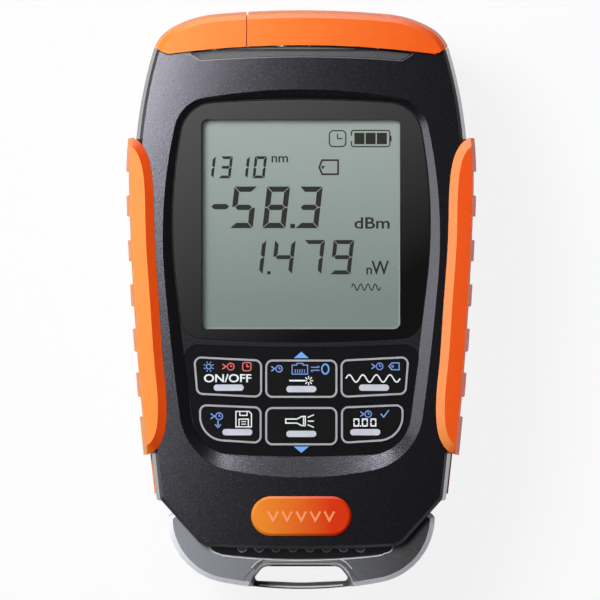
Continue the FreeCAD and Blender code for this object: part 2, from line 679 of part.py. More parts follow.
# ---------------------------------------------------------------- port end
def jack(x, y0, y1, z0, height, toward):
    """Network socket body and its contacts, the mouth at y1 when toward is 1, at y0 when -1."""
    half = JACK_W / 2
    body = box(x - half, x + half, y0, y1, z0, z0 + height)
    mouth_w, mouth_h = JACK_MOUTH
    key_w, key_h = JACK_KEYWAY
    z = z0 + (height - mouth_h) / 2
    front = y1 if toward > 0 else y0
    back = front - toward * JACK_MOUTH_DEPTH
    low, high = min(front, back), max(front, back)
    room = box(x - mouth_w / 2, x + mouth_w / 2, low, high, z, z + mouth_h)
    keyway = box(x - key_w / 2, x + key_w / 2, low, high, z - min(key_h, z - z0 - 1), z + 1)
    contacts = []
    for i in range(8):
        cx = x + (i - 3.5) * CONTACT_PITCH
        c0, c1 = back, front - toward * CONTACT_SETBACK
        contacts.append(box(cx - CONTACT_W / 2, cx + CONTACT_W / 2, min(c0, c1), max(c0, c1),
                            z + mouth_h - 1.2, z + mouth_h - 0.9))
        contacts.append(box(cx - CONTACT_W / 2, cx + CONTACT_W / 2, min(c0, c0 + toward * 0.4),
                            max(c0, c0 + toward * 0.4), z + mouth_h - 1.2, z + mouth_h))
    fused = [contacts[2 * i].fuse(contacts[2 * i + 1]).removeSplitter() for i in range(8)]
    return body.cut([room, keyway]), Part.makeCompound(fused)


def port_panel():
    y0, y1 = PANEL_Y
    fit = WALL + SEAT_GAP
    plate = block(-fit, -fit, fit).common(slab(y0, y1))
    jack_half = JACK_W / 2 + PORT_FIT
    return plate.cut([
        rod_y(ADAPTER_X, PORT_Z, y0, y1, ADAPTER_R + PORT_FIT),
        rod_y(LOCATOR_X, PORT_Z, y0, y1, LOCATOR_R + PORT_FIT),
        rod_y(TORCH_X, PORT_Z, y0, y1, TORCH_LAMP_R + PORT_FIT),
        box(JACK_X - jack_half, JACK_X + jack_half, y0, y1, BOARD_BASE_Z - JACK_H - PORT_FIT,
            BOARD_BASE_Z + PORT_FIT),
        box(USB_X - USB_W / 2 - PORT_FIT, USB_X + USB_W / 2 + PORT_FIT, y0, y1, BOARD_TOP_Z - PORT_FIT,
            BOARD_TOP_Z + USB_H + PORT_FIT)])


def barrel(x, radius, flange_r, tip_y, back_y):
    """Ferrule port: barrel in front of the panel, flange against it, stub behind."""
    face = PANEL_Y[1]
    body = rod_y(x, PORT_Z, back_y, tip_y, radius)
    body = body.fuse(rod_y(x, PORT_Z, face, face + FLANGE_T, flange_r)).removeSplitter()
    tip = [e for e in body.Edges if e.BoundBox.YMin > tip_y - 0.01]
    body = body.makeChamfer(0.4, tip)
    return body.cut(rod_y(x, PORT_Z, FERRULE_STOP_Y, tip_y + 1, FERRULE_R))


def opm_adapter():
    body = barrel(ADAPTER_X, ADAPTER_R, ADAPTER_FLANGE_R, ADAPTER_TIP_Y, DETECTOR_Y[1])
    width, length, height = ADAPTER_KEYWAY
    notch = box(ADAPTER_X - width / 2, ADAPTER_X + width / 2, ADAPTER_TIP_Y - length, ADAPTER_TIP_Y + 1,
                PORT_Z + height, PORT_Z + ADAPTER_FLANGE_R)
    return body.cut(notch)


def torch_lamp():
    face = PANEL_Y[1]
    bezel = rod_y(TORCH_X, PORT_Z, face, face + FLANGE_T, TORCH_BEZEL_R)
    lamp = rod_y(TORCH_X, PORT_Z, PANEL_Y[0] - 1.5, face + FLANGE_T + 0.6, TORCH_LAMP_R)
    tip = [e for e in lamp.Edges if e.BoundBox.YMin > face + FLANGE_T + 0.5]
    return bezel.fuse(lamp.makeChamfer(0.4, tip))


def charging_socket():
    z0 = BOARD_TOP_Z
    half = USB_W / 2
    y0, y1 = PANEL_Y[0] - 5, PANEL_Y[1] + 0.6
    shell = box(USB_X - half, USB_X + half, y0, y1, z0, z0 + USB_H)
    room = box(USB_X - half + 0.4, USB_X + half - 0.4, y0 + 1.5, y1, z0 + 0.4, z0 + USB_H - 0.4)
    blade = box(USB_X - half + 1.8, USB_X + half - 1.8, y0 + 1, y1 - 1, z0 + 1.0, z0 + 1.6)
    return shell.cut(room).fuse(blade)


def hinged_cover(x0, x1):
    """Hollow cap between two X positions with its knuckles."""
    outer = block(0, COVER_PROUD)
    outer = outer.makeChamfer(COVER_EDGE, edges_near_z(outer, PARTING_Z + WALL, REACH))
    outer = outer.makeChamfer(REAR_EDGE, edges_near_z(outer, -0.1, 0.1))
    outer = outer.common([cover_zone()]).common(box(x0, x1, 0, REACH, COVER_FLOOR_Z, REACH))
    groove_w, groove_d = COVER_GROOVE
    groove = box(COVER_SPLIT_X - groove_w / 2, COVER_SPLIT_X + groove_w / 2, 0, REACH, -1, REACH)
    outer = outer.cut(groove.cut(block(-groove_d, COVER_PROUD - groove_d, COVER_FLOOR_Z + groove_d)))
    w = COVER_WALL
    floor_z = COVER_FLOOR_Z + w
    inner = block(-w, COVER_PROUD - w).common(box(x0 + w, x1 - w, 0, REACH, floor_z, REACH))
    barrel_run = rod_x(HINGE_Y, HINGE_Z, x0, x1, KNUCKLE_R)
    web = box(x0, x1, HINGE_Y, COVER_SEAM_Y + 2, COVER_FLOOR_Z, floor_z)
    knuckles = barrel_run.fuse(web).common(block(-KNUCKLE_GAP))
    notch_r = KNUCKLE_R + KNUCKLE_NOTCH
    notches = [box(a - KNUCKLE_GAP, b + KNUCKLE_GAP, LIP_Y - LIP, HINGE_Y + notch_r, -1, HINGE_Z + notch_r)
               for a, b in HOUSING_LUGS]
    cap = outer.cut(inner).fuse(knuckles).cut(notches)
    return cap.cut(rod_x(HINGE_Y, HINGE_Z, -PIN_X - 0.2, PIN_X + 0.2, PIN_R + PIN_RUN_FIT))


# ---------------------------------------------------------------- release button, latch, dock
def release_button():
    z0 = BUTTON_FLANGE_Z
    z1 = z0 + BUTTON_FLANGE_T
    cap = pill(0, BUTTON_Y, BUTTON[0], BUTTON[1], z0, REACH).common(crown(BUTTON_PROUD))
    cap = cap.makeChamfer(BUTTON_EDGE, edges_near_z(cap, z1, REACH))
    reach, half = BUTTON_FLANGE
    half_l = BUTTON[0] / 2 + reach
    flange = box(-half_l, half_l, BUTTON_Y - half, BUTTON_Y + half, z0, z1)
    cap = cap.fuse(flange).cut(slab(BUTTON_RELIEF_Y, 0, 0, z1 - BUTTON_RELIEF_GAP))
    nub_w, nub_r = BUTTON_NUB
    nub_z = LEVER_Z + LEVER_T + LEVER_NUB_GAP + nub_r
    nub = rod_x(BUTTON_Y, nub_z, -nub_w / 2, nub_w / 2, nub_r)
    web = box(-nub_w / 2, nub_w / 2, BUTTON_Y - nub_r, BUTTON_Y + nub_r, nub_z, z0)
    return cap.fuse([nub, web]).removeSplitter()


def button_spring(x):
    """Coil of square wire standing on the dock under the button's flange."""
    half = SPRING_WIRE / 2
    height = SPRING_L - SPRING_WIRE
    helix = Part.makeHelix(height / SPRING_TURNS, height, SPRING_R)
    low, high = SPRING_R - half, SPRING_R + half
    corners = [Vector(low, 0, -half), Vector(high, 0, -half), Vector(high, 0, half), Vector(low, 0, half)]
    start = Part.makePolygon(corners + corners[:1])
    coil = Part.Wire(helix.Edges).makePipeShell([start], True, True)
    coil.translate(Vector(x, BUTTON_Y, DOCK_TOP_Z + half))
    return coil


def latch_lever():
    y0, y1 = LEVER_Y
    z0 = LEVER_Z
    z1 = z0 + LEVER_T
    plate = box(-LEVER_HALF, LEVER_HALF, y0, y1, z0, z1 - 0.3)
    pad = box(-LEVER_HALF, LEVER_HALF, y0, PIVOT_Y + 2, z0, z1)
    shaft = rod_x(PIVOT_Y, (z0 + z1) / 2, -PIVOT_HALF, PIVOT_HALF, PIVOT_R)
    hook = box(-HOOK_HALF, HOOK_HALF, y1 - HOOK_T, y1, HOOK_Z, z0 + 0.2)
    return plate.fuse([pad, shaft, hook]).removeSplitter()


def remote_dock():
    y0, y1 = DOCK_Y
    half_in = TONGUE_HALF + TESTER_FIT
    half_out = half_in + DOCK_WALL
    liner = box(-half_out, half_out, y0, y1, WALL, DOCK_TOP_Z)
    liner = liner.cut(box(-half_in, half_in, y0 - 1, y1 - DOCK_WALL, WALL + DOCK_FLOOR_T, DOCK_ROOF_Z))
    shelf = box(-SHELF_HALF, SHELF_HALF, SHELF_Y, y0, DOCK_ROOF_Z, DOCK_TOP_Z)
    ears = []
    e0, e1, ear_half, ear_h = EAR
    for side in (-1, 1):
        x0, x1 = sorted((side * e0, side * e1))
        ears.append(box(x0, x1, PIVOT_Y - ear_half, PIVOT_Y + ear_half, DOCK_TOP_Z, DOCK_TOP_Z + ear_h))
    z0, z1 = DOCK_ROOF_Z - 1, DOCK_TOP_Z + 1
    cuts = [rod_x(PIVOT_Y, LEVER_Z + LEVER_T / 2, -REACH, REACH, PIVOT_R + PIN_RUN_FIT),
            box(-HOOK_HALF - 0.6, HOOK_HALF + 0.6, LEVER_Y[1] - HOOK_T - 0.7, LEVER_Y[1] + 1.0, z0, z1),
            box(-LEVER_HALF - 0.3, LEVER_HALF + 0.3, LEVER_Y[0] - 0.5, PIVOT_Y - 0.6, z0, z1)]
    return liner.fuse([shelf] + ears).cut(cuts)


# ---------------------------------------------------------------- removable tester
def tester_outline(z):
    """Wire round the tester's head: curved end, and sides that lean in to a straight shoulder."""
    steps, _ = trace(-TESTER_END, TESTER_RUNS, TESTER_TURNS, z, 0)

    def turned(point):
        return Vector(point.x, -point.y, z)
    steps = [(turned(a), turned(b), turned(c)) for a, b, c in steps]
    first, corner = steps
    end = corner[2]
    shoulder = Vector(end.x - TESTER_CORNER, TESTER_SHOULDER_Y, z)
    sides = Part.makePolygon([end, shoulder, flip(shoulder), flip(end)])
    return Part.Wire([arc(flip(first[2]), first[0], first[2]), edge_of(corner)] + sides.Edges
                     + [flipped_edge(corner)])


def lanyard_cut():
    z0, z1 = TESTER_BACK_Z, TESTER_FRONT_Z
    middle = (z0 + z1) / 2
    slot = prism(rounded(SLOT, SLOT_R, z0 - 1), z1 - z0 + 2)
    flares = []
    for z_face, z_bar in ((z1, middle + LANYARD_BAR_T / 2), (z0, middle - LANYARD_BAR_T / 2)):
        ends = [rounded(FLARE_OUTER, FLARE_R, z_face), rounded(FLARE_INNER, FLARE_R, z_bar)]
        flares.append(Part.makeLoft(ends, True, True))
    return [slot] + flares


def tester_window(grow, height):
    """Dark crescent over the lamps: straight on top, a flat arc between two tight ones below."""
    z = TESTER_FRONT_Z - TESTER_WINDOW_T
    top, end, side = [Vector(x, y, z) for x, y in (TESTER_WINDOW_TOP, TESTER_WINDOW_END, TESTER_WINDOW_SIDE)]
    wire = Part.Wire([arc(top, end, side), arc(side, Vector(0, TESTER_WINDOW_Y, z), flip(side)),
                      arc(flip(side), flip(end), flip(top)), Part.makeLine(flip(top), top)])
    return prism(wire.makeOffset2D(grow) if grow else wire, height)


def lamp_rods(radius, z0, z1):
    middle = (LAMP_COUNT - 1) / 2
    return [disc((i - middle) * LAMP_PITCH, LAMP_Y, z0, z1, radius) for i in range(LAMP_COUNT)]


def tester_shells():
    z0, z1 = TESTER_BACK_Z, TESTER_FRONT_Z
    head = prism(tester_outline(z0), z1 - z0)
    rim = edges_near_z(head, z0 - 0.1, z0 + 0.1) + edges_near_z(head, z1 - 0.1, z1 + 0.1)
    head = head.makeChamfer(TESTER_EDGE, rim)
    tongue = box(-TONGUE_HALF, TONGUE_HALF, TESTER_SHOULDER_Y - 2, TONGUE_Y, TONGUE_BASE_Z, TONGUE_TOP_Z)
    body = head.fuse(tongue)
    c_half, c_y0, c_y1 = TESTER_CAVITY
    c_z = TESTER_ROOF_Z
    x, y = TESTER_SCREW
    boss = both_sides(disc(x, y, z0, z1, 2.4))
    cavity = box(-c_half, c_half, c_y0, c_y1, TESTER_FLOOR_Z, c_z)
    cavity = cavity.fuse(box(-c_half, c_half, c_y0, TESTER_SHOULDER_Y - 1, TESTER_HEAD_FLOOR_Z, c_z)).cut(boss)
    jack_half = JACK_W / 2 + SEAT_GAP
    jack_z = TESTER_FLOOR_Z + TESTER_BOARD[3]
    channel_half, channel_y, channel_gap = CHANNEL
    cuts = [cavity, tester_window(SEAT_GAP, REACH),
            box(-BAY[0], BAY[0], BAY[1], TESTER_SHOULDER_Y + 1, TONGUE_TOP_Z, REACH),
            box(-channel_half, channel_half, channel_y, TONGUE_Y + 1, HOOK_Z - channel_gap, REACH),
            box(-jack_half, jack_half, c_y1 - 1, TONGUE_Y + 1, jack_z - SEAT_GAP,
                c_z - TESTER_JACK_GAP + SEAT_GAP),
            both_sides(disc(x, y, z0 - 1, z0 + 2.0, TESTER_HEAD_R + HEAD_FIT)),
            both_sides(disc(x, y, z0 - 1, c_z - 0.5, TESTER_SCREW_R + THREAD_FIT))]
    cuts += lamp_rods(LAMP_R + SEAT_GAP, c_z - 1, z1 + 1)
    body = body.cut(cuts + lanyard_cut())
    front = body.common(slab(-REACH, 0, PARTING_Z))
    rear = body.common(slab(-REACH, 0, 0, PARTING_Z - PARTING_GAP))
    return front, rear


def tester_inside():
    half, y0, y1, t = TESTER_BOARD
    board_top = TESTER_FLOOR_Z + t
    board = box(-half, half, y0, y1, TESTER_FLOOR_Z, board_top)
    jack_y = TONGUE_Y - SEAT_GAP
    jack_h = TESTER_ROOF_Z - TESTER_JACK_GAP - board_top
    body, contacts = jack(0, jack_y - TESTER_JACK_L, jack_y, board_top, jack_h, 1)
    lamps = Part.makeCompound(lamp_rods(LAMP_R, board_top, TESTER_FRONT_Z - 0.05))
    window = tester_window(0, TESTER_WINDOW_T)
    window = window.cut(lamp_rods(LAMP_R + SEAT_GAP, PARTING_Z, TESTER_FRONT_Z + 1))
    x, y = TESTER_SCREW
    fixing = both_sides(screw(x, y, TESTER_BACK_Z + 0.6, 1.4, TESTER_HEAD_R, TESTER_SCREW_R,
                              TESTER_ROOF_Z - TESTER_SCREW_TIP))
    return board, body, contacts, lamps, window, fixing


# ---------------------------------------------------------------- build and export
def build():
    shapes = {"front_cover": front_cover(), "rear_cover": rear_cover()}
    grip = left_grip()
    shapes["left_grip"] = grip
    shapes["right_grip"] = mirrored(grip)
    shapes["display_lens"] = display_lens()
    shapes["lcd_glass"], shapes["lcd_backlight"], shapes["lcd_frame"] = lcd_stack()
    shapes["keypad_panel"] = keypad_panel()
    for name, points, radii, bar_at in keys():
        cap, bar, dome = key_parts(points, radii, bar_at)
        shapes["key_" + name] = cap
        shapes["bar_" + name] = bar
        shapes["dome_" + name] = dome
    shapes["main_board"] = main_board()
    shapes["case_screws"], shapes["board_screws"] = screws()
    shapes["battery_pad"], shapes["battery"] = battery()
    shapes["port_panel"] = port_panel()
    shapes["opm_adapter"] = opm_adapter()
    shapes["opm_detector"] = rod_y(ADAPTER_X, PORT_Z, DETECTOR_Y[0], DETECTOR_Y[1], MODULE_R)
    shapes["vfl_port"] = barrel(LOCATOR_X, LOCATOR_R, LOCATOR_FLANGE_R, LOCATOR_TIP_Y, MODULE_END_Y)
    shapes["vfl_laser"] = rod_y(LOCATOR_X, PORT_Z, BATTERY[2] + MODULE_BATTERY_GAP, MODULE_END_Y, MODULE_R)
    shapes["torch_lamp"] = torch_lamp()
    jack_front = PANEL_Y[1] + JACK_PROUD
    shapes["rj45_jack"], shapes["rj45_contacts"] = jack(JACK_X, jack_front - JACK_L, jack_front,
                                                        BOARD_BASE_Z - JACK_H, JACK_H, 1)
    shapes["usb_port"] = charging_socket()
    shapes["hinge_pin"] = rod_x(HINGE_Y, HINGE_Z, -PIN_X, PIN_X, PIN_R)
    half_gap = COVER_SPLIT_GAP / 2
    shapes["vfl_cover"] = hinged_cover(-REACH, COVER_SPLIT_X - half_gap)
    shapes["opm_cover"] = hinged_cover(COVER_SPLIT_X + half_gap, REACH)
    shapes["release_button"] = release_button()
    shapes["button_springs"] = both_sides(button_spring(SPRING_X))
    shapes["latch_lever"] = latch_lever()
    shapes["remote_dock"] = remote_dock()
    shapes["remote_front_shell"], shapes["remote_rear_shell"] = tester_shells()
    (shapes["remote_board"], shapes["remote_jack"], shapes["remote_contacts"], shapes["remote_lamps"],
     shapes["remote_window"], shapes["remote_screws"]) = tester_inside()
    return shapes


os.makedirs("parts", exist_ok=True)
for node, shape in build().items():
    export(node, shape)
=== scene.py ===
import math

import bmesh
import bpy
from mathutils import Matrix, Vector


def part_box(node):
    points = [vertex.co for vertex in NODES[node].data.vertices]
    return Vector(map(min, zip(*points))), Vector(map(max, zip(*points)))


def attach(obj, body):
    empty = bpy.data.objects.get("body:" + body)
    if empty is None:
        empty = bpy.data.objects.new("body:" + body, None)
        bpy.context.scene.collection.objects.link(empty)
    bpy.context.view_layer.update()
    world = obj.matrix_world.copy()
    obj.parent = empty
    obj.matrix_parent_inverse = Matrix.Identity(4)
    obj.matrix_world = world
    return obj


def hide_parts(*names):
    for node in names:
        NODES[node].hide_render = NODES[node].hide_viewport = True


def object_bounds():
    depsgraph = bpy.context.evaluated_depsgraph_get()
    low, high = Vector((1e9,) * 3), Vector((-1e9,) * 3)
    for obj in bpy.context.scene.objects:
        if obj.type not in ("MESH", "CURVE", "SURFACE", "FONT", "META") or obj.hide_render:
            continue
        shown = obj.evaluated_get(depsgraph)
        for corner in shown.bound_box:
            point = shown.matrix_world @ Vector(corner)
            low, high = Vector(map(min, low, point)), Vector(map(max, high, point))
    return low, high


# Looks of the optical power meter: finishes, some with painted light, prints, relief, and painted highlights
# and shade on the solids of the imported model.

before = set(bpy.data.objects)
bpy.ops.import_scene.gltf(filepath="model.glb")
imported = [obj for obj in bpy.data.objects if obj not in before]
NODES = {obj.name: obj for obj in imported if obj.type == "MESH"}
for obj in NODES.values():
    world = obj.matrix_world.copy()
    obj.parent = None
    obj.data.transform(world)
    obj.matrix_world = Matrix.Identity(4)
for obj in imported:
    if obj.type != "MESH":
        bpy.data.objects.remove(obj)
cad_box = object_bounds()
MM = 0.001
WHITE = (1.0, 1.0, 1.0, 1.0)


# ---------------------------------------------------------------- places and sizes taken from the frame
def middle(node):
    """Middle of a node along X and Y in millimetres, to a hundredth."""
    low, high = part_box(node)
    return round((low.x + high.x) / 2 / MM, 2), round((low.y + high.y) / 2 / MM, 2)


KEYS = ("power", "locator", "wavelength", "save", "torch", "reference")
KEY_RIM = 0.1 * MM
KEY_FACE_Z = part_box("key_power")[1].z - KEY_RIM
PANEL_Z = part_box("keypad_panel")[1].z
LENS_LOW_Z, LENS_HIGH_Z = (corner.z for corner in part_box("display_lens"))
LCD_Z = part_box("lcd_glass")[1].z
TESTER_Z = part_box("remote_front_shell")[1].z
DISPLAY = middle("lcd_glass")
BUTTON = middle("release_button")
BARS = {key: middle("bar_" + key) for key in KEYS}

# thickness of print, and the distance below which points are one
INK = 0.02 * MM
WELD = 1e-7

# the clear part of the lens in millimetres from the display's middle: left, right, low, high, corner radius
WINDOW = (-20.7, 20.4, -21.7, 21.65, 1.3)
PANE_BOTTOM_Z = LENS_HIGH_Z - 0.5 * MM
PANE_TOP_Z = LENS_HIGH_Z - 0.02 * MM


# ---------------------------------------------------------------- materials
def rgb(red, green, blue):
    """Display values from 0 to 255 as a linear colour."""
    def linear(value):
        value /= 255
        return value / 12.92 if value <= 0.04045 else ((value + 0.055) / 1.055) ** 2.4
    return linear(red), linear(green), linear(blue), 1.0


def shade(colour, factor):
    """A colour made darker or brighter."""
    return tuple(min(1.0, c * factor) for c in colour[:3]) + (1.0,)


def feed(links, socket, value):
    """Give an input a number, a colour or another socket's output."""
    if isinstance(value, bpy.types.NodeSocket):
        links.new(value, socket)
    else:
        socket.default_value = value


class Finish:
    """A node material that is built up in steps on Object coordinates."""

    def __init__(self, name, colour, roughness, metallic=0.0, coat=0.0, specular=0.5):
        self.material = bpy.data.materials.new(name)
        self.material.use_nodes = True
        self.nodes = self.material.node_tree.nodes
        self.links = self.material.node_tree.links
        self.shader = self.nodes["Principled BSDF"]
        settings = {"Base Color": colour, "Roughness": roughness, "Metallic": metallic, "Coat Weight": coat,
                    "Coat Roughness": 0.08, "Specular IOR Level": specular}
        for socket, value in settings.items():
            self.shader.inputs[socket].default_value = value
        coordinates = self.nodes.new("ShaderNodeTexCoord").outputs
        self.place = coordinates["Object"]
        self.facing = coordinates["Normal"]
        self.colour = colour
        self.roughness = roughness

    def noise(self, size, detail=3.0):
        """Even random pattern whose spots have about the given size."""
        node = self.nodes.new("ShaderNodeTexNoise")
        node.inputs["Scale"].default_value = 1 / size
        node.inputs["Detail"].default_value = detail
        self.links.new(self.place, node.inputs["Vector"])
        return node.outputs["Fac"]

    def remap(self, value, low, high, out_low=0.0, out_high=1.0):
        node = self.nodes.new("ShaderNodeMapRange")
        limits = {"From Min": low, "From Max": high, "To Min": out_low, "To Max": out_high}
        for socket, number in limits.items():
            node.inputs[socket].default_value = number
        self.links.new(value, node.inputs["Value"])
        return node.outputs["Result"]

    def part(self, vector, name):
        node = self.nodes.new("ShaderNodeSeparateXYZ")
        self.links.new(vector, node.inputs["Vector"])
        return node.outputs[name]

    def axis(self, name):
        """Place along one of the object's own axes."""
        return self.part(self.place, name)

    def turn(self, name):
        """How far the surface faces along one of the object's own axes."""
        return self.part(self.facing, name)

    def leaned(self, place, lean):
        """A place along another axis that drifts with X."""
        node = self.nodes.new("ShaderNodeMath")
        node.operation = "MULTIPLY_ADD"
        node.inputs[1].default_value = lean
        self.links.new(self.axis("X"), node.inputs[0])
        self.links.new(place, node.inputs[2])
        return node.outputs[0]

    def tint(self, colour):
        self.shader.inputs["Specular Tint"].default_value = colour
        return self

    def mix(self, factor, first, second, blend="MIX"):
        """Colour made from two, each a colour or a socket."""
        node = self.nodes.new("ShaderNodeMix")
        node.data_type = "RGBA"
        node.blend_type = blend
        for socket, value in (("Factor", factor), (6, first), (7, second)):
            feed(self.links, node.inputs[socket], value)
        return node.outputs[2]

    def paint(self, socket):
        self.links.new(socket, self.shader.inputs["Base Color"])
        return self

    def mottled(self, size, amount, base=None):
        """Slight change of tone over the surface, on the plain colour or on a socket's."""
        tone = self.remap(self.noise(size), 0.35, 0.65)
        if base is None:
            low, high = shade(self.colour, 1 - amount), shade(self.colour, 1 + amount)
            return self.paint(self.mix(tone, low, high))
        veil = self.mix(tone, shade(WHITE, 1 - amount), WHITE)
        return self.paint(self.mix(1.0, base, veil, "MULTIPLY"))

    def grained(self, size, depth, strength=0.5, detail=2.0):
        """Moulded texture: fine bumps and the roughness that goes with them."""
        height = self.noise(size, detail)
        bump = self.nodes.new("ShaderNodeBump")
        bump.inputs["Strength"].default_value = strength
        bump.inputs["Distance"].default_value = depth
        self.links.new(height, bump.inputs["Height"])
        self.links.new(bump.outputs["Normal"], self.shader.inputs["Normal"])
        rough = self.remap(height, 0.3, 0.7, self.roughness * 0.85, min(1.0, self.roughness * 1.15))
        self.links.new(rough, self.shader.inputs["Roughness"])
        return self


# size, depth and strength of the fine grain of satin mouldings
SATIN = (0.4 * MM, 0.01 * MM, 0.25)

# the part's width in millimetres, over which the painted light on the orange parts drifts
WIDTH = (-36, 36)

# how far a surface turns inwards where its bevel's painted tone, shade on the left grip and light on the
# right, starts and where it is full
BEVEL_TURN = (0.1, 0.35)

# half the height over which one layer of paint gives way to the next
PAINT_EDGE = 0.002 * MM


def spark_plastic(name, colour, roughness=0.5, specular=0.5, depth=0.012 * MM):
    """Spark-eroded mould texture, fine and with a faint cool sheen."""
    finish = Finish(name, colour, roughness, specular=specular).tint(rgb(236, 234, 250))
    return finish.mottled(0.35 * MM, 0.2).grained(0.3 * MM, depth, 0.6).material


def satin_plastic(name, colour, roughness=0.4, grain=0.4 * MM, **gloss):
    finish = Finish(name, colour, roughness, **gloss)
    return finish.mottled(2.5 * MM, 0.05).grained(grain, 0.01 * MM, 0.25).material


def plated_metal(name, colour, roughness=0.25):
    finish = Finish(name, colour, roughness, metallic=1.0)
    return finish.mottled(1.5 * MM, 0.06).grained(0.5 * MM, 0.004 * MM, 0.3).material


def layered(name, colours, levels, roughness, grain=0.4 * MM, across=None, specular=0.5):
    """Colours stacked by height, each one starting at its level; the top one may drift along X as painted
    light.
    """
    finish = Finish(name, colours[-1], roughness, specular=specular)
    tone = colours[0]
    if across:
        along = finish.remap(finish.axis("X"), -across[0] * MM, across[0] * MM)
        colours = colours[:-1] + (finish.mix(along, colours[-1], across[1]),)
    for colour, level in zip(colours[1:], levels):
        above = finish.remap(finish.axis("Z"), level - PAINT_EDGE, level + PAINT_EDGE)
        tone = finish.mix(above, tone, colour)
    return finish.mottled(1.2 * MM, 0.05, tone).grained(grain, 0.008 * MM, 0.3).material


def painted_light_fade(name, axis, span, colours, roughness, mottling, grain, lean=0.0, **gloss):
    """Painted light: plastic whose tone drifts evenly between a lit and a shaded colour along an axis, which
    may lean to X.
    """
    finish = Finish(name, colours[0], roughness, **gloss)
    place = finish.axis(axis)
    if lean:
        place = finish.leaned(place, lean)
    along = finish.remap(place, span[0] * MM, span[1] * MM)
    tone = finish.mix(along, *colours)
    finish.mottled(mottling[0] * MM, mottling[1], tone)
    return finish.grained(*grain).material if grain else finish.material


def painted_light_moulding(name, colours, inner, side, roughness, specular):
    """Moulding with painted light: its face drifts from lit to shaded along X, and its bevel, where it turns
    to +X or -X, has a tone of its own, painted shade on the left grip and painted light on the right.
    """
    finish = Finish(name, colours[0], roughness, specular=specular)
    along = finish.remap(finish.axis("X"), WIDTH[0] * MM, WIDTH[1] * MM)
    inward = finish.remap(finish.turn("X"), BEVEL_TURN[0] * side, BEVEL_TURN[1] * side)
    tone = finish.mix(inward, finish.mix(along, *colours), inner)
    return finish.mottled(2.5 * MM, 0.04, tone).grained(*SATIN).material


def clear_pane():
    """Hardly visible pane with a sharp gloss."""
    finish = Finish("clear_pane", rgb(25, 27, 28), 0.06)
    finish.shader.inputs["Alpha"].default_value = 0.06
    return finish.mottled(4 * MM, 0.1).material


# painted light: the orange parts drift from a lit, warm tone on the left to a shaded, deep one on the right
PAINTED_LIGHT_ORANGE = (rgb(255, 147, 36), rgb(254, 85, 6))
# painted light: the button's orange is lit on the left and shaded on the right
PAINTED_LIGHT_BUTTON_ORANGE = (rgb(250, 146, 40), rgb(228, 52, 2))
# painted light: the display's grey is lighter towards the top
LCD_GREY_PAINTED_LIGHT = (rgb(112, 129, 123), rgb(168, 180, 175))
# painted reflection: the lens border goes from black at the bottom to a grey sheen towards the upper left
LENS_BLACK_PAINTED_SHEEN = (rgb(4, 4, 5), rgb(80, 80, 81))
KEY_PAINT = (rgb(5, 5, 6), rgb(180, 180, 186))
# tester grey: darker on its sides, a painted highlight band along the bevel of its front edge, and a front
# whose painted light drifts from lit grey on the left to shade on the right
TESTER_PAINTED_LIGHT = (rgb(40, 41, 46), rgb(240, 243, 250), rgb(132, 135, 143))
TESTER_LEVELS = (TESTER_Z - 1.02 * MM, TESTER_Z - 0.02 * MM)

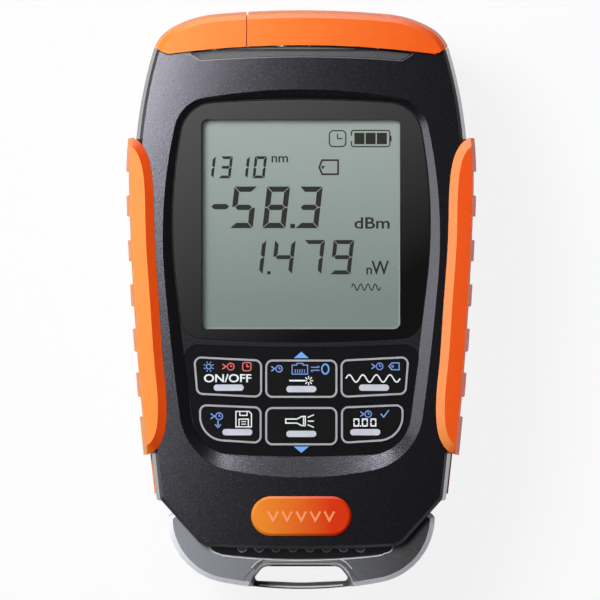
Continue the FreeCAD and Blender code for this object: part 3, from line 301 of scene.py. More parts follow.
FINISHES = {
    "housing": spark_plastic("housing_plastic", rgb(9, 8, 12), 0.25, 0.45, 0.025 * MM),
    # painted shade: the left grip's inner bevel, turned away from the light, is a deeper red-orange
    "left_grip": painted_light_moulding("left_grip_rubber", PAINTED_LIGHT_ORANGE, rgb(255, 86, 14), 1, 0.45, 0.12),
    # painted light: the right grip's inner bevel, turned to the light, is a paler orange
    "right_grip": painted_light_moulding("right_grip_rubber", PAINTED_LIGHT_ORANGE, rgb(250, 142, 66), -1, 0.45, 0.12),
    # painted light: the covers' orange is lit on the left and shaded on the right
    "cover": painted_light_fade("cover_plastic", "X", WIDTH, PAINTED_LIGHT_ORANGE, 0.42, (2.5, 0.04), SATIN, specular=0.1),
    "button": painted_light_fade("button_plastic", "X", (-9.5, 6.5), PAINTED_LIGHT_BUTTON_ORANGE, 0.45, (2.5, 0.03), SATIN,
                    specular=0.06),
    # painted reflection on the lens border, lighter towards the upper left
    "lens": painted_light_fade("lens_border", "Y", (-8, 55), LENS_BLACK_PAINTED_SHEEN, 0.25, (5, 0.02), None, lean=-0.6, specular=0.12),
    "pane": clear_pane(),
    "lcd": painted_light_fade("lcd_face", "Y", (-1, 41), LCD_GREY_PAINTED_LIGHT, 0.45, (0.5, 0.03), (0.3 * MM, 0.004 * MM, 0.2),
                 specular=0.3),
    "backlight": satin_plastic("backlight", rgb(225, 228, 224), 0.6),
    "frame": satin_plastic("frame_plastic", rgb(92, 92, 95), 0.55),
    "keypad": spark_plastic("keypad_plastic", rgb(5, 5, 7), 0.5, 0.04, 0.004 * MM),
    "key": layered("key_plastic", KEY_PAINT, (KEY_FACE_Z + KEY_RIM / 2,), 0.42, specular=0.05),
    "bar": satin_plastic("key_bar", rgb(204, 207, 221), 0.34, 0.2 * MM),
    "silicone": satin_plastic("silicone", rgb(215, 215, 212), 0.6),
    "board": satin_plastic("board", rgb(28, 92, 52), 0.45, 0.3 * MM),
    "steel": plated_metal("steel", rgb(170, 170, 174), 0.3),
    "battery": plated_metal("battery_foil", rgb(178, 182, 188), 0.42),
    "foam": spark_plastic("foam", rgb(50, 50, 52), 0.9),
    "port": satin_plastic("port_plastic", rgb(40, 40, 43), 0.5),
    "nickel": plated_metal("nickel", rgb(205, 205, 208), 0.2),
    "brass": plated_metal("brass", rgb(200, 165, 95), 0.28),
    "lamp_lens": satin_plastic("torch_lens", rgb(238, 240, 242), 0.12, coat=0.6),
    "jack": satin_plastic("jack_plastic", rgb(34, 34, 36), 0.45),
    "contacts": plated_metal("gold_contacts", rgb(230, 190, 100), 0.22),
    "dock": satin_plastic("dock_plastic", rgb(36, 36, 39), 0.55),
    # painted light on the tester's front: lit grey on the left, near-black painted shade on the right
    "tester": layered("tester_grey_painted_light", TESTER_PAINTED_LIGHT, TESTER_LEVELS, 0.38, across=(24, rgb(22, 22, 26)),
                      specular=0.4),
    "tester_rear": spark_plastic("tester_rear_paint", rgb(80, 82, 90), 0.45),
    "window": satin_plastic("tester_window", rgb(12, 12, 13), 0.18, coat=0.4),
    "lamp": satin_plastic("light_pipe", rgb(70, 72, 76), 0.3),
    "white": satin_plastic("white_print", rgb(232, 236, 240), 0.5),
    "blue": satin_plastic("blue_print", rgb(96, 140, 226), 0.5),
    "sky": satin_plastic("sky_print", rgb(74, 156, 240), 0.5),
    "red": satin_plastic("red_print", rgb(214, 66, 58), 0.5),
    "segment": satin_plastic("lcd_segment", rgb(42, 42, 36), 0.5, specular=0.08),
    "relief": satin_plastic("button_relief", rgb(255, 150, 80), 0.42),
    # painted highlights on the tester's edges, and the bright rings round its light pipes
    "trim": satin_plastic("bright_ring_and_painted_highlight", rgb(215, 218, 224), 0.3),
    # painted shade on the slope round the lanyard slot
    "groove": satin_plastic("groove_shade", rgb(16, 16, 19), 0.5),
    # painted shade: dark sheets on the finger recess and under the covers
    "recess": satin_plastic("painted_recess_shade", rgb(12, 11, 14), 0.6),
    # painted highlight along the finger recess's lower lip
    "lip": satin_plastic("recess_lip_painted_highlight", rgb(88, 86, 97), 0.45),
    # painted shadow: a grey band where the window's edge shades the display
    "window_painted_shadow_edge": satin_plastic("window_painted_shadow_edge", rgb(150, 155, 152), 0.5),
}

# the display glows faintly
LCD_SHADER = FINISHES["lcd"].node_tree.nodes["Principled BSDF"]
LCD_SHADER.inputs["Emission Color"].default_value = rgb(150, 168, 160)
LCD_SHADER.inputs["Emission Strength"].default_value = 0.12

CAD_FINISHES = {
    "front_cover": "housing", "rear_cover": "housing", "left_grip": "left_grip", "right_grip": "right_grip",
    "vfl_cover": "cover", "opm_cover": "cover", "release_button": "button", "display_lens": "lens",
    "lcd_glass": "lcd", "lcd_backlight": "backlight", "lcd_frame": "frame", "keypad_panel": "keypad",
    "main_board": "board", "case_screws": "steel", "board_screws": "steel", "battery_pad": "foam",
    "battery": "battery", "port_panel": "port", "opm_adapter": "nickel", "opm_detector": "brass",
    "vfl_port": "nickel", "vfl_laser": "brass", "torch_lamp": "lamp_lens", "rj45_jack": "jack",
    "rj45_contacts": "contacts", "usb_port": "nickel", "hinge_pin": "steel", "button_springs": "steel",
    "latch_lever": "dock", "remote_dock": "dock", "remote_front_shell": "tester",
    "remote_rear_shell": "tester_rear", "remote_window": "window", "remote_lamps": "lamp",
    "remote_board": "board", "remote_jack": "jack", "remote_contacts": "contacts", "remote_screws": "steel",
}
for key in KEYS:
    CAD_FINISHES["key_" + key] = "key"
    CAD_FINISHES["bar_" + key] = "bar"
    CAD_FINISHES["dome_" + key] = "silicone"
for node, finish_name in CAD_FINISHES.items():
    slots = NODES[node].data.materials
    slots.clear()
    slots.append(FINISHES[finish_name])


# ---------------------------------------------------------------- mesh helpers
def new_object(name, data):
    thing = bpy.data.objects.new(name, data)
    bpy.context.scene.collection.objects.link(thing)
    return thing


def evaluated_mesh(thing):
    """Plain mesh of a curve, or of an object with its modifiers applied."""
    bpy.context.view_layer.update()
    return bpy.data.meshes.new_from_object(thing.evaluated_get(bpy.context.evaluated_depsgraph_get()))


def piece(name, mesh, finish_name, body):
    """Scene object with its finish, riding on a body."""
    thing = new_object(name, mesh)
    mesh.materials.clear()
    mesh.materials.append(FINISHES[finish_name])
    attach(thing, body)
    return thing


def to_mesh(name, form):
    mesh = bpy.data.meshes.new(name)
    bmesh.ops.recalc_face_normals(form, faces=form.faces)
    form.to_mesh(mesh)
    form.free()
    return mesh


def patch(form, points, z0, z1):
    """Closed plate over a polygon given in millimetres."""
    low = [form.verts.new((x * MM, y * MM, z0)) for x, y in points]
    high = [form.verts.new((x * MM, y * MM, z1)) for x, y in points]
    form.faces.new(low)
    form.faces.new(high)
    for i in range(len(points)):
        j = (i + 1) % len(points)
        form.faces.new((low[i], low[j], high[j], high[i]))


# keeps the mitre of a sharp corner short
SHARPEST = 0.35


def join_sections(form, here, there):
    """Sides between two four-cornered sections of a strip."""
    for k in range(4):
        form.faces.new((here[k], here[(k + 1) % 4], there[(k + 1) % 4], there[k]))


def band(form, points, width, z0, z1, closed=False):
    """Closed strip of even width along a path given in millimetres."""
    spots = [Vector(p) for p in points]
    count = len(spots)
    rings = []
    for i, spot in enumerate(spots):
        before = spots[i - 1] if closed or i else None
        after = spots[(i + 1) % count] if closed or i < count - 1 else None
        ends = [(a, b) for a, b in ((before, spot), (spot, after)) if a is not None and b is not None]
        ways = [(b - a).normalized() for a, b in ends]
        side = Vector((0, 0))
        for way in ways:
            side += Vector((-way.y, way.x))
        side.normalize()
        spread = width / 2 / max(SHARPEST, side.dot(Vector((-ways[0].y, ways[0].x))))
        left, right = spot + side * spread, spot - side * spread
        rings.append([form.verts.new((p.x * MM, p.y * MM, z)) for p, z in
                      ((left, z0), (right, z0), (right, z1), (left, z1))])
    for i in range(count if closed else count - 1):
        join_sections(form, rings[i], rings[(i + 1) % count])
    if not closed:
        form.faces.new(rings[0])
        form.faces.new(rings[-1])


def circle(x, y, radius, count=20, start=0.0, sweep=360.0):
    """Points of a circle, or of an arc with both its ends."""
    full = sweep == 360.0
    steps = count if full else count + 1
    return [(x + radius * math.cos(math.radians(start + sweep * i / count)),
             y + radius * math.sin(math.radians(start + sweep * i / count))) for i in range(steps)]


def rounded_box(x0, x1, y0, y1, radius, count=5):
    """Points of a rounded rectangle, anticlockwise from its upper right corner."""
    corners = ((x1 - radius, y1 - radius, 0), (x0 + radius, y1 - radius, 90),
               (x0 + radius, y0 + radius, 180), (x1 - radius, y0 + radius, 270))
    points = []
    for x, y, start in corners:
        points += circle(x, y, radius, count, start, 90)
    return points


def shifted(strokes, x, y):
    """Strokes moved by a distance in millimetres."""
    return [(kind, [(px + x, py + y) for px, py in points], *width) for kind, points, *width in strokes]


def mirrored(points):
    """The other half of a path that is even about the middle of the part."""
    return [(-x, y) for x, y in reversed(points)]


def draw(name, strokes, finish_name, body, slot, z0, z1):
    """One piece from strokes: ("fill", points), ("line", points, width) or ("loop", points, width)."""
    form = bmesh.new()
    for stroke in strokes:
        if stroke[0] == "fill":
            patch(form, stroke[1], z0, z1)
        else:
            band(form, stroke[1], stroke[2], z0, z1, stroke[0] == "loop")
    return piece(name, to_mesh(name, form), finish_name, body)


def word(name, text, box, origin, finish_name, body, slot, z0, z1, weight):
    """Lettering stretched to a box: left, right, low and high in millimetres from an origin."""
    curve = bpy.data.curves.new(name + "_curve", "FONT")
    curve.body = text
    curve.extrude = 0.5
    curve.offset = weight
    source = new_object(name + "_source", curve)
    mesh = evaluated_mesh(source)
    bpy.data.objects.remove(source)
    bpy.data.curves.remove(curve)
    left, right, low, high = box
    x0, y0 = (left + origin[0]) * MM, (low + origin[1]) * MM
    xs = [v.co.x for v in mesh.vertices]
    ys = [v.co.y for v in mesh.vertices]
    scale_x = (right - left) * MM / (max(xs) - min(xs))
    scale_y = (high - low) * MM / (max(ys) - min(ys))
    for v in mesh.vertices:
        v.co.x = x0 + (v.co.x - min(xs)) * scale_x
        v.co.y = y0 + (v.co.y - min(ys)) * scale_y
        v.co.z = z0 if v.co.z < 0 else z1
    form = bmesh.new()
    form.from_mesh(mesh)
    bmesh.ops.remove_doubles(form, verts=form.verts, dist=WELD)
    return piece(name, to_mesh(name, form), finish_name, body)


# ---------------------------------------------------------------- ring rows by Geometry Nodes
RING_SIDES = 36
WIRE_SIDES = 8


def ring_row_tree():
    """Rings laid out along a straight step."""
    tree = bpy.data.node_groups.new("ring_row", "GeometryNodeTree")
    sockets = (("Count", "NodeSocketInt"), ("Start", "NodeSocketVector"), ("Step", "NodeSocketVector"),
               ("Turn", "NodeSocketVector"), ("Ring Radius", "NodeSocketFloat"),
               ("Wire Radius", "NodeSocketFloat"), ("Material", "NodeSocketMaterial"))
    for socket_name, kind in sockets:
        tree.interface.new_socket(socket_name, in_out="INPUT", socket_type=kind)
    tree.interface.new_socket("Geometry", in_out="OUTPUT", socket_type="NodeSocketGeometry")
    new = tree.nodes.new
    given, result = new("NodeGroupInput"), new("NodeGroupOutput")
    line = new("GeometryNodeMeshLine")
    line.mode = "OFFSET"
    ring, wire = new("GeometryNodeCurvePrimitiveCircle"), new("GeometryNodeCurvePrimitiveCircle")
    ring.inputs["Resolution"].default_value = RING_SIDES
    wire.inputs["Resolution"].default_value = WIRE_SIDES
    sweep = new("GeometryNodeCurveToMesh")
    place = new("GeometryNodeInstanceOnPoints")
    finish = new("GeometryNodeSetMaterial")
    real = new("GeometryNodeRealizeInstances")
    join = tree.links.new
    join(given.outputs["Count"], line.inputs["Count"])
    join(given.outputs["Start"], line.inputs["Start Location"])
    join(given.outputs["Step"], line.inputs["Offset"])
    join(given.outputs["Ring Radius"], ring.inputs["Radius"])
    join(given.outputs["Wire Radius"], wire.inputs["Radius"])
    join(ring.outputs["Curve"], sweep.inputs["Curve"])
    join(wire.outputs["Curve"], sweep.inputs["Profile Curve"])
    join(line.outputs["Mesh"], place.inputs["Points"])
    join(sweep.outputs["Mesh"], place.inputs["Instance"])
    join(given.outputs["Turn"], place.inputs["Rotation"])
    join(place.outputs["Instances"], finish.inputs["Geometry"])
    join(given.outputs["Material"], finish.inputs["Material"])
    join(finish.outputs["Geometry"], real.inputs["Geometry"])
    join(real.outputs["Geometry"], result.inputs["Geometry"])
    return tree


RING_ROW = ring_row_tree()


def ring_row(name, count, start, step, turn, ring_radius, wire_radius, finish_name, body):
    """Piece made of equal rings in a straight row."""
    holder = new_object(name + "_holder", bpy.data.meshes.new(name + "_holder"))
    rows = holder.modifiers.new("rows", "NODES")
    rows.node_group = RING_ROW
    values = {"Count": count, "Start": start, "Step": step, "Turn": turn, "Ring Radius": ring_radius,
              "Wire Radius": wire_radius, "Material": FINISHES[finish_name]}
    for item in RING_ROW.interface.items_tree:
        if item.in_out == "INPUT":
            rows[item.identifier] = values[item.name]
    mesh = evaluated_mesh(holder)
    holder.modifiers.remove(rows)
    bpy.data.objects.remove(holder)
    form = bmesh.new()
    form.from_mesh(mesh)
    return piece(name, to_mesh(name, form), finish_name, body)


# ---------------------------------------------------------------- digits and signs, made of strokes
SEGMENTS = {"0": "abcdef", "1": "bc", "2": "abdeg", "3": "abcdg", "4": "bcfg", "5": "acdfg",
            "6": "acdefg", "7": "abc", "8": "abcdefg", "9": "abcdfg"}


def block(x0, x1, y0, y1):
    """Filled rectangle."""
    return "fill", [(x0, y0), (x1, y0), (x1, y1), (x0, y1)]


def segment_shapes(width, height, thick, gap):
    """Outlines of the seven segments: the outer ones mitred at the corners, the middle one pointed."""
    half, mid_y = thick / 2, height / 2
    inner = width - thick
    top = [(gap, height), (width - gap, height), (inner - gap, height - thick), (thick + gap, height - thick)]
    side = [(0, mid_y + gap), (0, height - gap), (thick, height - thick - gap), (thick, mid_y + half + gap),
            (half, mid_y + gap)]
    bar = [(half + gap, mid_y), (thick + gap, mid_y + half), (inner - gap, mid_y + half),
           (width - half - gap, mid_y), (inner - gap, mid_y - half), (thick + gap, mid_y - half)]
    over = {"a": top, "f": side, "b": [(width - x, y) for x, y in side]}
    under = {name: [(x, height - y) for x, y in over[twin]] for name, twin in zip("dec", "afb")}
    return {**over, **under, "g": bar}


def seven_segments(text, left, low, width, height, thick, pitch, slant=0.115, gap=0.07):
    """Slanted digits; a point stands in the gap after its digit."""
    shapes = segment_shapes(width, height, thick, gap * thick + 0.03)
    strokes = []
    x = left

    def leaned(points):
        return [(x + px + (py - height / 2) * slant, low + py) for px, py in points]
    for sign in text:
        if sign == ".":
            start = x + (width - pitch) / 2 - thick * 0.45
            strokes.append(block(start, start + thick * 0.9, low, low + thick * 0.8))
            continue
        strokes += [("fill", leaned(shapes[name])) for name in SEGMENTS[sign]]
        x += pitch
    return strokes


def battery_sign(left, right, low, high, line=0.24, nub=0.35, margin=0.5):
    """Battery with three cells, its outline open at the middle of the left end."""
    case = rounded_box(left, right - nub, low, high, 0.5)
    y = (low + high) / 2
    clockwise = case[11::-1] + case[:11:-1]
    outline = [(left, y + 0.55)] + clockwise + [(left, y - 0.55)]
    strokes = [("line", outline, line), block(right - nub, right, y - 0.6, y + 0.6)]
    first, last = left + margin, right - nub - margin
    pitch = (last - first) / 3
    for i in range(3):
        x0 = first + i * pitch
        strokes.append(block(x0 + 0.12, x0 + pitch - 0.12, low + margin, high - margin))
    return strokes


def timer_sign(left, right, low, high, line):
    """Clock face in a rounded square."""
    x, y = (left + right) / 2, (low + high) / 2
    reach = (right - left) * 0.3
    return [("loop", rounded_box(left, right, low, high, (right - left) * 0.24), line),
            ("line", [(x, y + reach), (x, y), (x + reach, y)], line)]


def rays(x, y, inner, outer, start, line):
    """Eight short lines round a point."""
    strokes = []
    for i in range(8):
        a = math.radians(45 * i + start)
        strokes.append(("line", [(x + r * math.cos(a), y + r * math.sin(a)) for r in (inner, outer)], line))
    return strokes


def sun_sign(x, y, radius, line=0.2):
    return [("loop", circle(x, y, radius * 0.45, 14), line)] + rays(x, y, radius * 0.68, radius, 22.5, line)


def hold_sign(x, y, height, line=0.24):
    """Chevron and a hand dial: keep the key pressed."""
    half = height / 2
    radius = half * 0.95
    cx = x + height * 1.15
    return [("line", [(x, y + half * 0.7), (x + half, y), (x, y - half * 0.7)], line),
            ("loop", circle(cx, y, radius, 18), line * 0.85),
            ("line", [(cx, y + radius * 0.6), (cx, y), (cx + radius * 0.5, y)], line * 0.8)]


def socket_sign(left, right, low, high, line=0.2):
    """Outline of a network socket with its contacts."""
    width = right - left
    shoulder = high - 0.35
    x0, x1 = left + width * 0.3, right - width * 0.3
    outline = [(left, low), (left, shoulder), (x0, shoulder), (x0, high), (x1, high), (x1, shoulder),
               (right, shoulder), (right, low)]
    strokes = [("loop", outline, line)]
    for i in range(5):
        x = left + width * (0.2 + 0.15 * i)
        strokes.append(("line", [(x, low + 0.25), (x, low + 1.0)], 0.16))
    return strokes


def exchange_sign(left, right, y, line=0.2):
    """Two arrows, there and back."""
    head = 0.35
    up, down = y + 0.3, y - 0.3
    paths = ([(left, up), (right, up)], [(right - head, up + head), (right, up)],
             [(left, down), (right, down)], [(left + head, down - head), (left, down)])
    return [("line", path, line) for path in paths]


def zero_sign(x, y, half_width, half_height, line=0.3, count=18):
    turns = [2 * math.pi * i / count for i in range(count)]
    return [("loop", [(x + half_width * math.cos(a), y + half_height * math.sin(a)) for a in turns], line)]


def beam_sign(left, right, y, line=0.26):
    """A narrow beam that ends in a burst."""
    beam = ("line", [(left, y), (right - 1.6, y)], line * 1.3)
    return [beam] + rays(right - 0.9, y, 0.35, 0.95, 0, line * 0.8)


def wave_sign(left, right, y, height, turns, line=0.28):
    steps = 16 * turns
    points = []
    for i in range(steps + 1):
        along = i / steps
        points.append((left + (right - left) * along, y + height / 2 * math.sin(2 * math.pi * turns * along)))
    return [("line", points, line)]


def disk_sign(left, right, low, high, line=0.24):
    """Storage disk with its shutter, label and two rows of writing."""
    width, height = right - left, high - low
    cut = width * 0.16
    body = [(left, low), (right, low), (right, high - cut), (right - cut, high), (left, high)]
    x0, x1, y = left + width * 0.25, right - width * 0.28, high - height * 0.26
    shutter = [(x0, high), (x0, y), (x1, y), (x1, high)]
    x0, x1, y = left + width * 0.2, right - width * 0.2, low + height * 0.5
    label = [(x0, low), (x0, y), (x1, y), (x1, low)]
    strokes = [("loop", body, line), ("line", shutter, line), ("line", label, line)]
    for share in (0.18, 0.34):
        y = low + height * share
        strokes.append(("line", [(left + width * 0.34, y), (right - width * 0.34, y)], line * 0.8))
    return strokes


def torch_sign(left, right, y, line=0.26):
    """Hand torch with three rays."""
    x1, x2, x3 = left + 2.3, left + 3.3, left + 4.0
    body = [(left, y - 0.42), (x1, y - 0.42), (x2, y - 0.95), (x3, y - 0.95), (x3, y + 0.95), (x2, y + 0.95),
            (x1, y + 0.42), (left, y + 0.42)]
    light = ([(x3 + 0.5, y - 0.75), (right, y - 1.3)], [(x3 + 0.5, y + 0.75), (right, y + 1.3)],
             [(x3 + 0.55, y), (right, y)])
    bezel = [(x3 - 0.35, y - 0.9), (x3 - 0.35, y + 0.9)]
    return [("loop", body, line), ("line", bezel, line * 0.8)] + [("line", ray, line * 0.9) for ray in light]


def tag_sign(left, right, low, high, line=0.22):
    """Luggage tag: a mark given to a fibre."""
    y = (low + high) / 2
    points = [(left, y), (left + 0.6, high), (right, high), (right, low), (left + 0.6, low)]
    return [("loop", points, line), ("loop", circle(left + 0.75, y, 0.2, 10), line * 0.7)]


def check_sign(x, y, size, line=0.26):
    return [("line", [(x, y), (x + size * 0.35, y - size * 0.4), (x + size, y + size * 0.45)], line)]


def triangle(x, base_y, tip_y, half):
    return [("fill", [(x - half, base_y), (x + half, base_y), (x, tip_y)])]


def down_arrow_sign(x, low, high, line=0.26):
    head_y = low + 0.65
    shaft, head = [(x, high), (x, low + 0.05)], [(x - 0.6, head_y), (x, low), (x + 0.6, head_y)]
    return [("line", shaft, line), ("line", head, line)]


# ---------------------------------------------------------------- lens and display
def window_outline(grow=0.0):
    """Edge of the lens's clear part, grown outwards."""
    x, y = DISPLAY
    left, right, low, high, radius = WINDOW
    return rounded_box(x + left - grow, x + right + grow, y + low - grow, y + high + grow, radius + grow, 8)


def lens_border():
    """Printed border, which stands for the lens and leaves its window open."""
    form = bmesh.new()
    form.from_mesh(NODES["display_lens"].data)
    bmesh.ops.remove_doubles(form, verts=form.verts, dist=WELD)
    border = piece("lens_border", to_mesh("lens_border", form), "lens", "housing")
    form = bmesh.new()
    patch(form, window_outline(), LENS_LOW_Z - MM, LENS_HIGH_Z + MM)
    cutter = new_object("window_cutter", to_mesh("window_cutter", form))
    cut = border.modifiers.new("window", "BOOLEAN")
    cut.operation = "DIFFERENCE"
    cut.solver = "EXACT"
    cut.object = cutter
    opened = evaluated_mesh(border)
    border.modifiers.remove(cut)
    border.data = opened
    bpy.data.objects.remove(cutter)
    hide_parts("display_lens")


def lens_pane():
    draw("lens_pane", [("fill", window_outline(-0.02))], "pane", "housing", "lens_plastic",
         PANE_BOTTOM_Z, PANE_TOP_Z)


def display_print():
    """Reading of the display: wavelength, level and power, with plain signs beside them.

    Places are in millimetres from the display's middle.
    """
    place = ("housing", "lcd_glass", LCD_Z, LCD_Z + INK)
    minus = [(-18.6, 3.6), (-18.0, 4.15), (-15.5, 4.15), (-14.9, 3.6), (-15.5, 3.05), (-18.0, 3.05)]
    strokes = seven_segments("1310", -20.4, 9.45, 2.5, 4.55, 0.58, 3.52) + [("fill", minus)]
    strokes += seven_segments("58.3", -14.3, -0.85, 4.75, 8.6, 1.1, 6.75)
    strokes += seven_segments("1.479", -11.85, -10.4, 4.25, 7.1, 0.82, 6.05)
    strokes += battery_sign(10.35, 18.65, 16.0, 19.35)
    strokes += timer_sign(5.8, 9.2, 16.0, 19.3, 0.24)
    strokes += wave_sign(10.4, 16.4, -13.05, 1.3, 4, 0.22)
    strokes += tag_sign(3.7, 7.6, 10.3, 13.2, 0.36)
    # painted shadow along the edge of the display window
    draw("window_painted_shadow_edge", [("loop", window_outline(-0.15), 0.34)], "window_painted_shadow_edge", *place)
    draw("lcd_signs", shifted(strokes, *DISPLAY), "segment", *place)
    units = (("nm", "nm", (-6.15, -2.75, 12.75, 14.05)), ("dBm", "dBm", (11.0, 18.25, -0.95, 1.4)),
             ("nano", "n", (13.45, 14.6, -10.4, -9.0)), ("watt", "W", (14.5, 18.1, -10.45, -7.6)))
    for name, text, box in units:
        word("unit_" + name, text, box, DISPLAY, "segment", *place, 0.012)


# ---------------------------------------------------------------- key legends
def key_print(key, colour, strokes):
    """Signs on a key, placed from the middle of its bar."""
    draw(f"{colour}_print_{key}", shifted(strokes, *BARS[key]), colour, "key_" + key, "key_bar",
         KEY_FACE_Z, KEY_FACE_Z + INK)


def key_word(key, text, box, weight):
    word("lettering_" + key, text, box, BARS[key], "white", "key_" + key, "key_bar",
         KEY_FACE_Z, KEY_FACE_Z + INK, weight)


def key_legends():
    key_print("power", "blue", sun_sign(-4.1, 4.35, 1.1))
    key_print("power", "red", hold_sign(-1.3, 4.35, 1.5) + timer_sign(2.9, 4.6, 3.5, 5.2, 0.22))
    key_word("power", "ON/OFF", (-5.1, 4.7, 1.1, 2.8), 0.018)
    key_print("locator", "blue", hold_sign(-6.2, 4.2, 1.4) + socket_sign(-1.9, 1.3, 3.1, 5.3)
              + exchange_sign(1.95, 3.75, 4.2))
    key_print("locator", "sky", zero_sign(4.95, 4.15, 0.72, 1.0))
    key_print("locator", "white", beam_sign(-2.5, 2.4, 1.75))
    key_print("wavelength", "blue", hold_sign(-0.5, 4.4, 1.45) + tag_sign(3.1, 5.2, 3.7, 5.1))
    key_print("wavelength", "white", wave_sign(-5.8, 5.4, 1.9, 1.5, 4))
    key_print("save", "blue", hold_sign(-5.5, 3.3, 1.5) + down_arrow_sign(-4.0, 0.95, 2.4))
    key_print("save", "white", disk_sign(-0.3, 2.9, 1.1, 4.3))
    key_print("torch", "white", torch_sign(-3.2, 2.6, 2.65))
    key_print("reference", "blue", hold_sign(-1.0, 3.75, 1.4) + check_sign(3.2, 3.8, 1.7))
    key_print("reference", "white", seven_segments("0.00", -2.45, 1.15, 1.25, 1.7, 0.3, 1.75, 0.0, 0.0))
    above = shifted(triangle(0.0, 6.4, 7.7, 1.55), *BARS["locator"])
    below = shifted(triangle(0.0, -2.6, -3.9, 1.55), *BARS["torch"])
    draw("arrow_print", above + below, "sky", "housing", "key_bar", PANEL_Z, PANEL_Z + INK)


# ---------------------------------------------------------------- relief, painted edge highlights and painted shade laid on the solids
# a height in metres from which the surfaces are felt for
ABOVE_ALL = 0.1


def surface_height(node, x, y):
    """Height of a node's front surface at a point."""
    hit, place, _, _ = NODES[node].ray_cast(Vector((x, y, ABOVE_ALL)), Vector((0, 0, -1)))
    return place.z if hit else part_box(node)[1].z


def lay_on(form, node, lift=0.0):
    """Drop a thin form onto the front of a node."""
    for v in form.verts:
        v.co.z += surface_height(node, v.co.x, v.co.y) + lift


def laid_lines(name, lines, finish_name, node, body, slot, half_thick=0.04 * MM):
    """Lines laid on a node, each a path and its width in millimetres."""
    form = bmesh.new()
    for path, width in lines:
        band(form, path, width, -half_thick, half_thick)
    lay_on(form, node)
    return piece(name, to_mesh(name, form), finish_name, body)


def laid_sheet(name, lower, upper, finish_name, node, body, slot, half_thick=0.03 * MM):
    """Thin sheet between two paths of as many points, laid on a node."""
    form = bmesh.new()
    rings = []
    for low, high in zip(lower, upper):
        section = ((low, -half_thick), (high, -half_thick), (high, half_thick), (low, half_thick))
        rings.append([form.verts.new((x * MM, y * MM, z)) for (x, y), z in section])
    for here, there in zip(rings, rings[1:]):
        join_sections(form, here, there)
    for end in (rings[0], rings[-1]):
        form.faces.new(end)
    lay_on(form, node)
    return piece(name, to_mesh(name, form), finish_name, body)


def bow(half, centre_y, end_y, steps=16):
    """Points of a shallow arc across the middle of the part."""
    places = [half * (2 * i / steps - 1) for i in range(steps + 1)]
    return [(x, centre_y + (end_y - centre_y) * (x / half) ** 2) for x in places]


CHEVRON_COUNT = 5
CHEVRON_PITCH = 2.9
CHEVRON_HALF = (1.0, 0.95)
CHEVRON_LINE = 0.42
CHEVRON_HEIGHT = 0.12 * MM
CHEVRON_SINK = 0.04 * MM


def button_relief():
    """Row of raised chevrons that point to the tester, laid on the button's crown."""
    form = bmesh.new()
    reach_x, reach_y = CHEVRON_HALF
    for i in range(CHEVRON_COUNT):
        x = BUTTON[0] + (i - (CHEVRON_COUNT - 1) / 2) * CHEVRON_PITCH
        y = BUTTON[1]
        path = [(x - reach_x, y + reach_y), (x, y - reach_y), (x + reach_x, y + reach_y)]
        band(form, path, CHEVRON_LINE, 0.0, CHEVRON_HEIGHT)
    lay_on(form, "release_button", -CHEVRON_SINK)
    piece("button_relief", to_mesh("button_relief", form), "relief", "release_button")


# painted shade and highlight at the finger recess below the covers, in millimetres: its floor, the ridge
# above it and its lower lip
RECESS_TOP_Y = 51.5
RECESS_CORNER = [(-22.4, 50.6), (-21.7, 50.1)]
RECESS_LOWER_ARC = bow(20.6, 50.3, 49.5)
RIDGE = bow(11, 51.66, 51.66)
LIP_TIP = [(-23.0, 50.75), (-22.7, 50.4)]
LIP_ARC = bow(20.85, 50.08, 49.28)
LIP_WIDTH = 0.16
SEAM_GAP = 0.05


def seam_y(x):
    """The front's upper edge, a little below the covers, in millimetres."""
    return 52.05 - 0.0025 * x * x


def recess_painted_shade_and_highlight():
    """Painted shade on the finger recess's floor and on the ridge under the covers, and a painted highlight
    along the recess's lower lip.
    """
    place = ("front_cover", "housing", "housing_plastic")
    lower = RECESS_CORNER + RECESS_LOWER_ARC + mirrored(RECESS_CORNER)
    upper = [(x, min(RECESS_TOP_Y, seam_y(x) - SEAM_GAP)) for x, _ in lower]
    laid_sheet("recess_floor_painted_shade", lower, upper, "recess", *place)
    laid_sheet("recess_shade", RIDGE, [(x, seam_y(x)) for x, _ in RIDGE], "recess", *place)
    lip = LIP_TIP + LIP_ARC + mirrored(LIP_TIP)
    laid_lines("recess_lip_painted_highlight", [(lip, LIP_WIDTH)], "lip", *place)


# the lanyard slot's right upper corner, in millimetres: its centre and radius, the lean of the side below it
# and where that side ends
SLOT_CENTRE = (6.94, -57.3)
SLOT_RADIUS = 2.0
SLOT_LEAN = math.radians(38.7)
SLOT_FOOT_Y = -58.3


def slot_arch(grow, steps=6):
    """Path over the top and sides of the lanyard slot, grown outwards."""
    x, y = SLOT_CENTRE
    radius = SLOT_RADIUS + grow
    angles = [SLOT_LEAN + (math.pi / 2 - SLOT_LEAN) * i / steps for i in range(steps + 1)]
    right = [(x + radius * math.cos(a), y + radius * math.sin(a)) for a in angles]
    side_x, side_y = right[0]
    foot = (side_x + (side_y - SLOT_FOOT_Y) * math.tan(SLOT_LEAN), SLOT_FOOT_Y)
    right.insert(0, foot)
    return right + mirrored(right)


# painted highlights along edges of the tester in millimetres: the lower edge of its window, as its left end
# and its arc, and the arc of the lanyard bar
SILL_END = [(-19.35, -50.5), (-18.5, -52.05)]
SILL_ARC = bow(16.0, -53.9, -52.95)
SILL_WIDTH = 0.22
BAR_ARC = bow(8.6, -59.55, -59.15)
BAR_WIDTH = 0.3

# lines round the slot, each as its distance from the slot and its width: painted highlights, and painted
# shade between them
SLOT_BRIGHT = ((0.62, 0.3), (1.75, 0.16))
SLOT_PAINTED_SHADE = (1.2, 0.7)


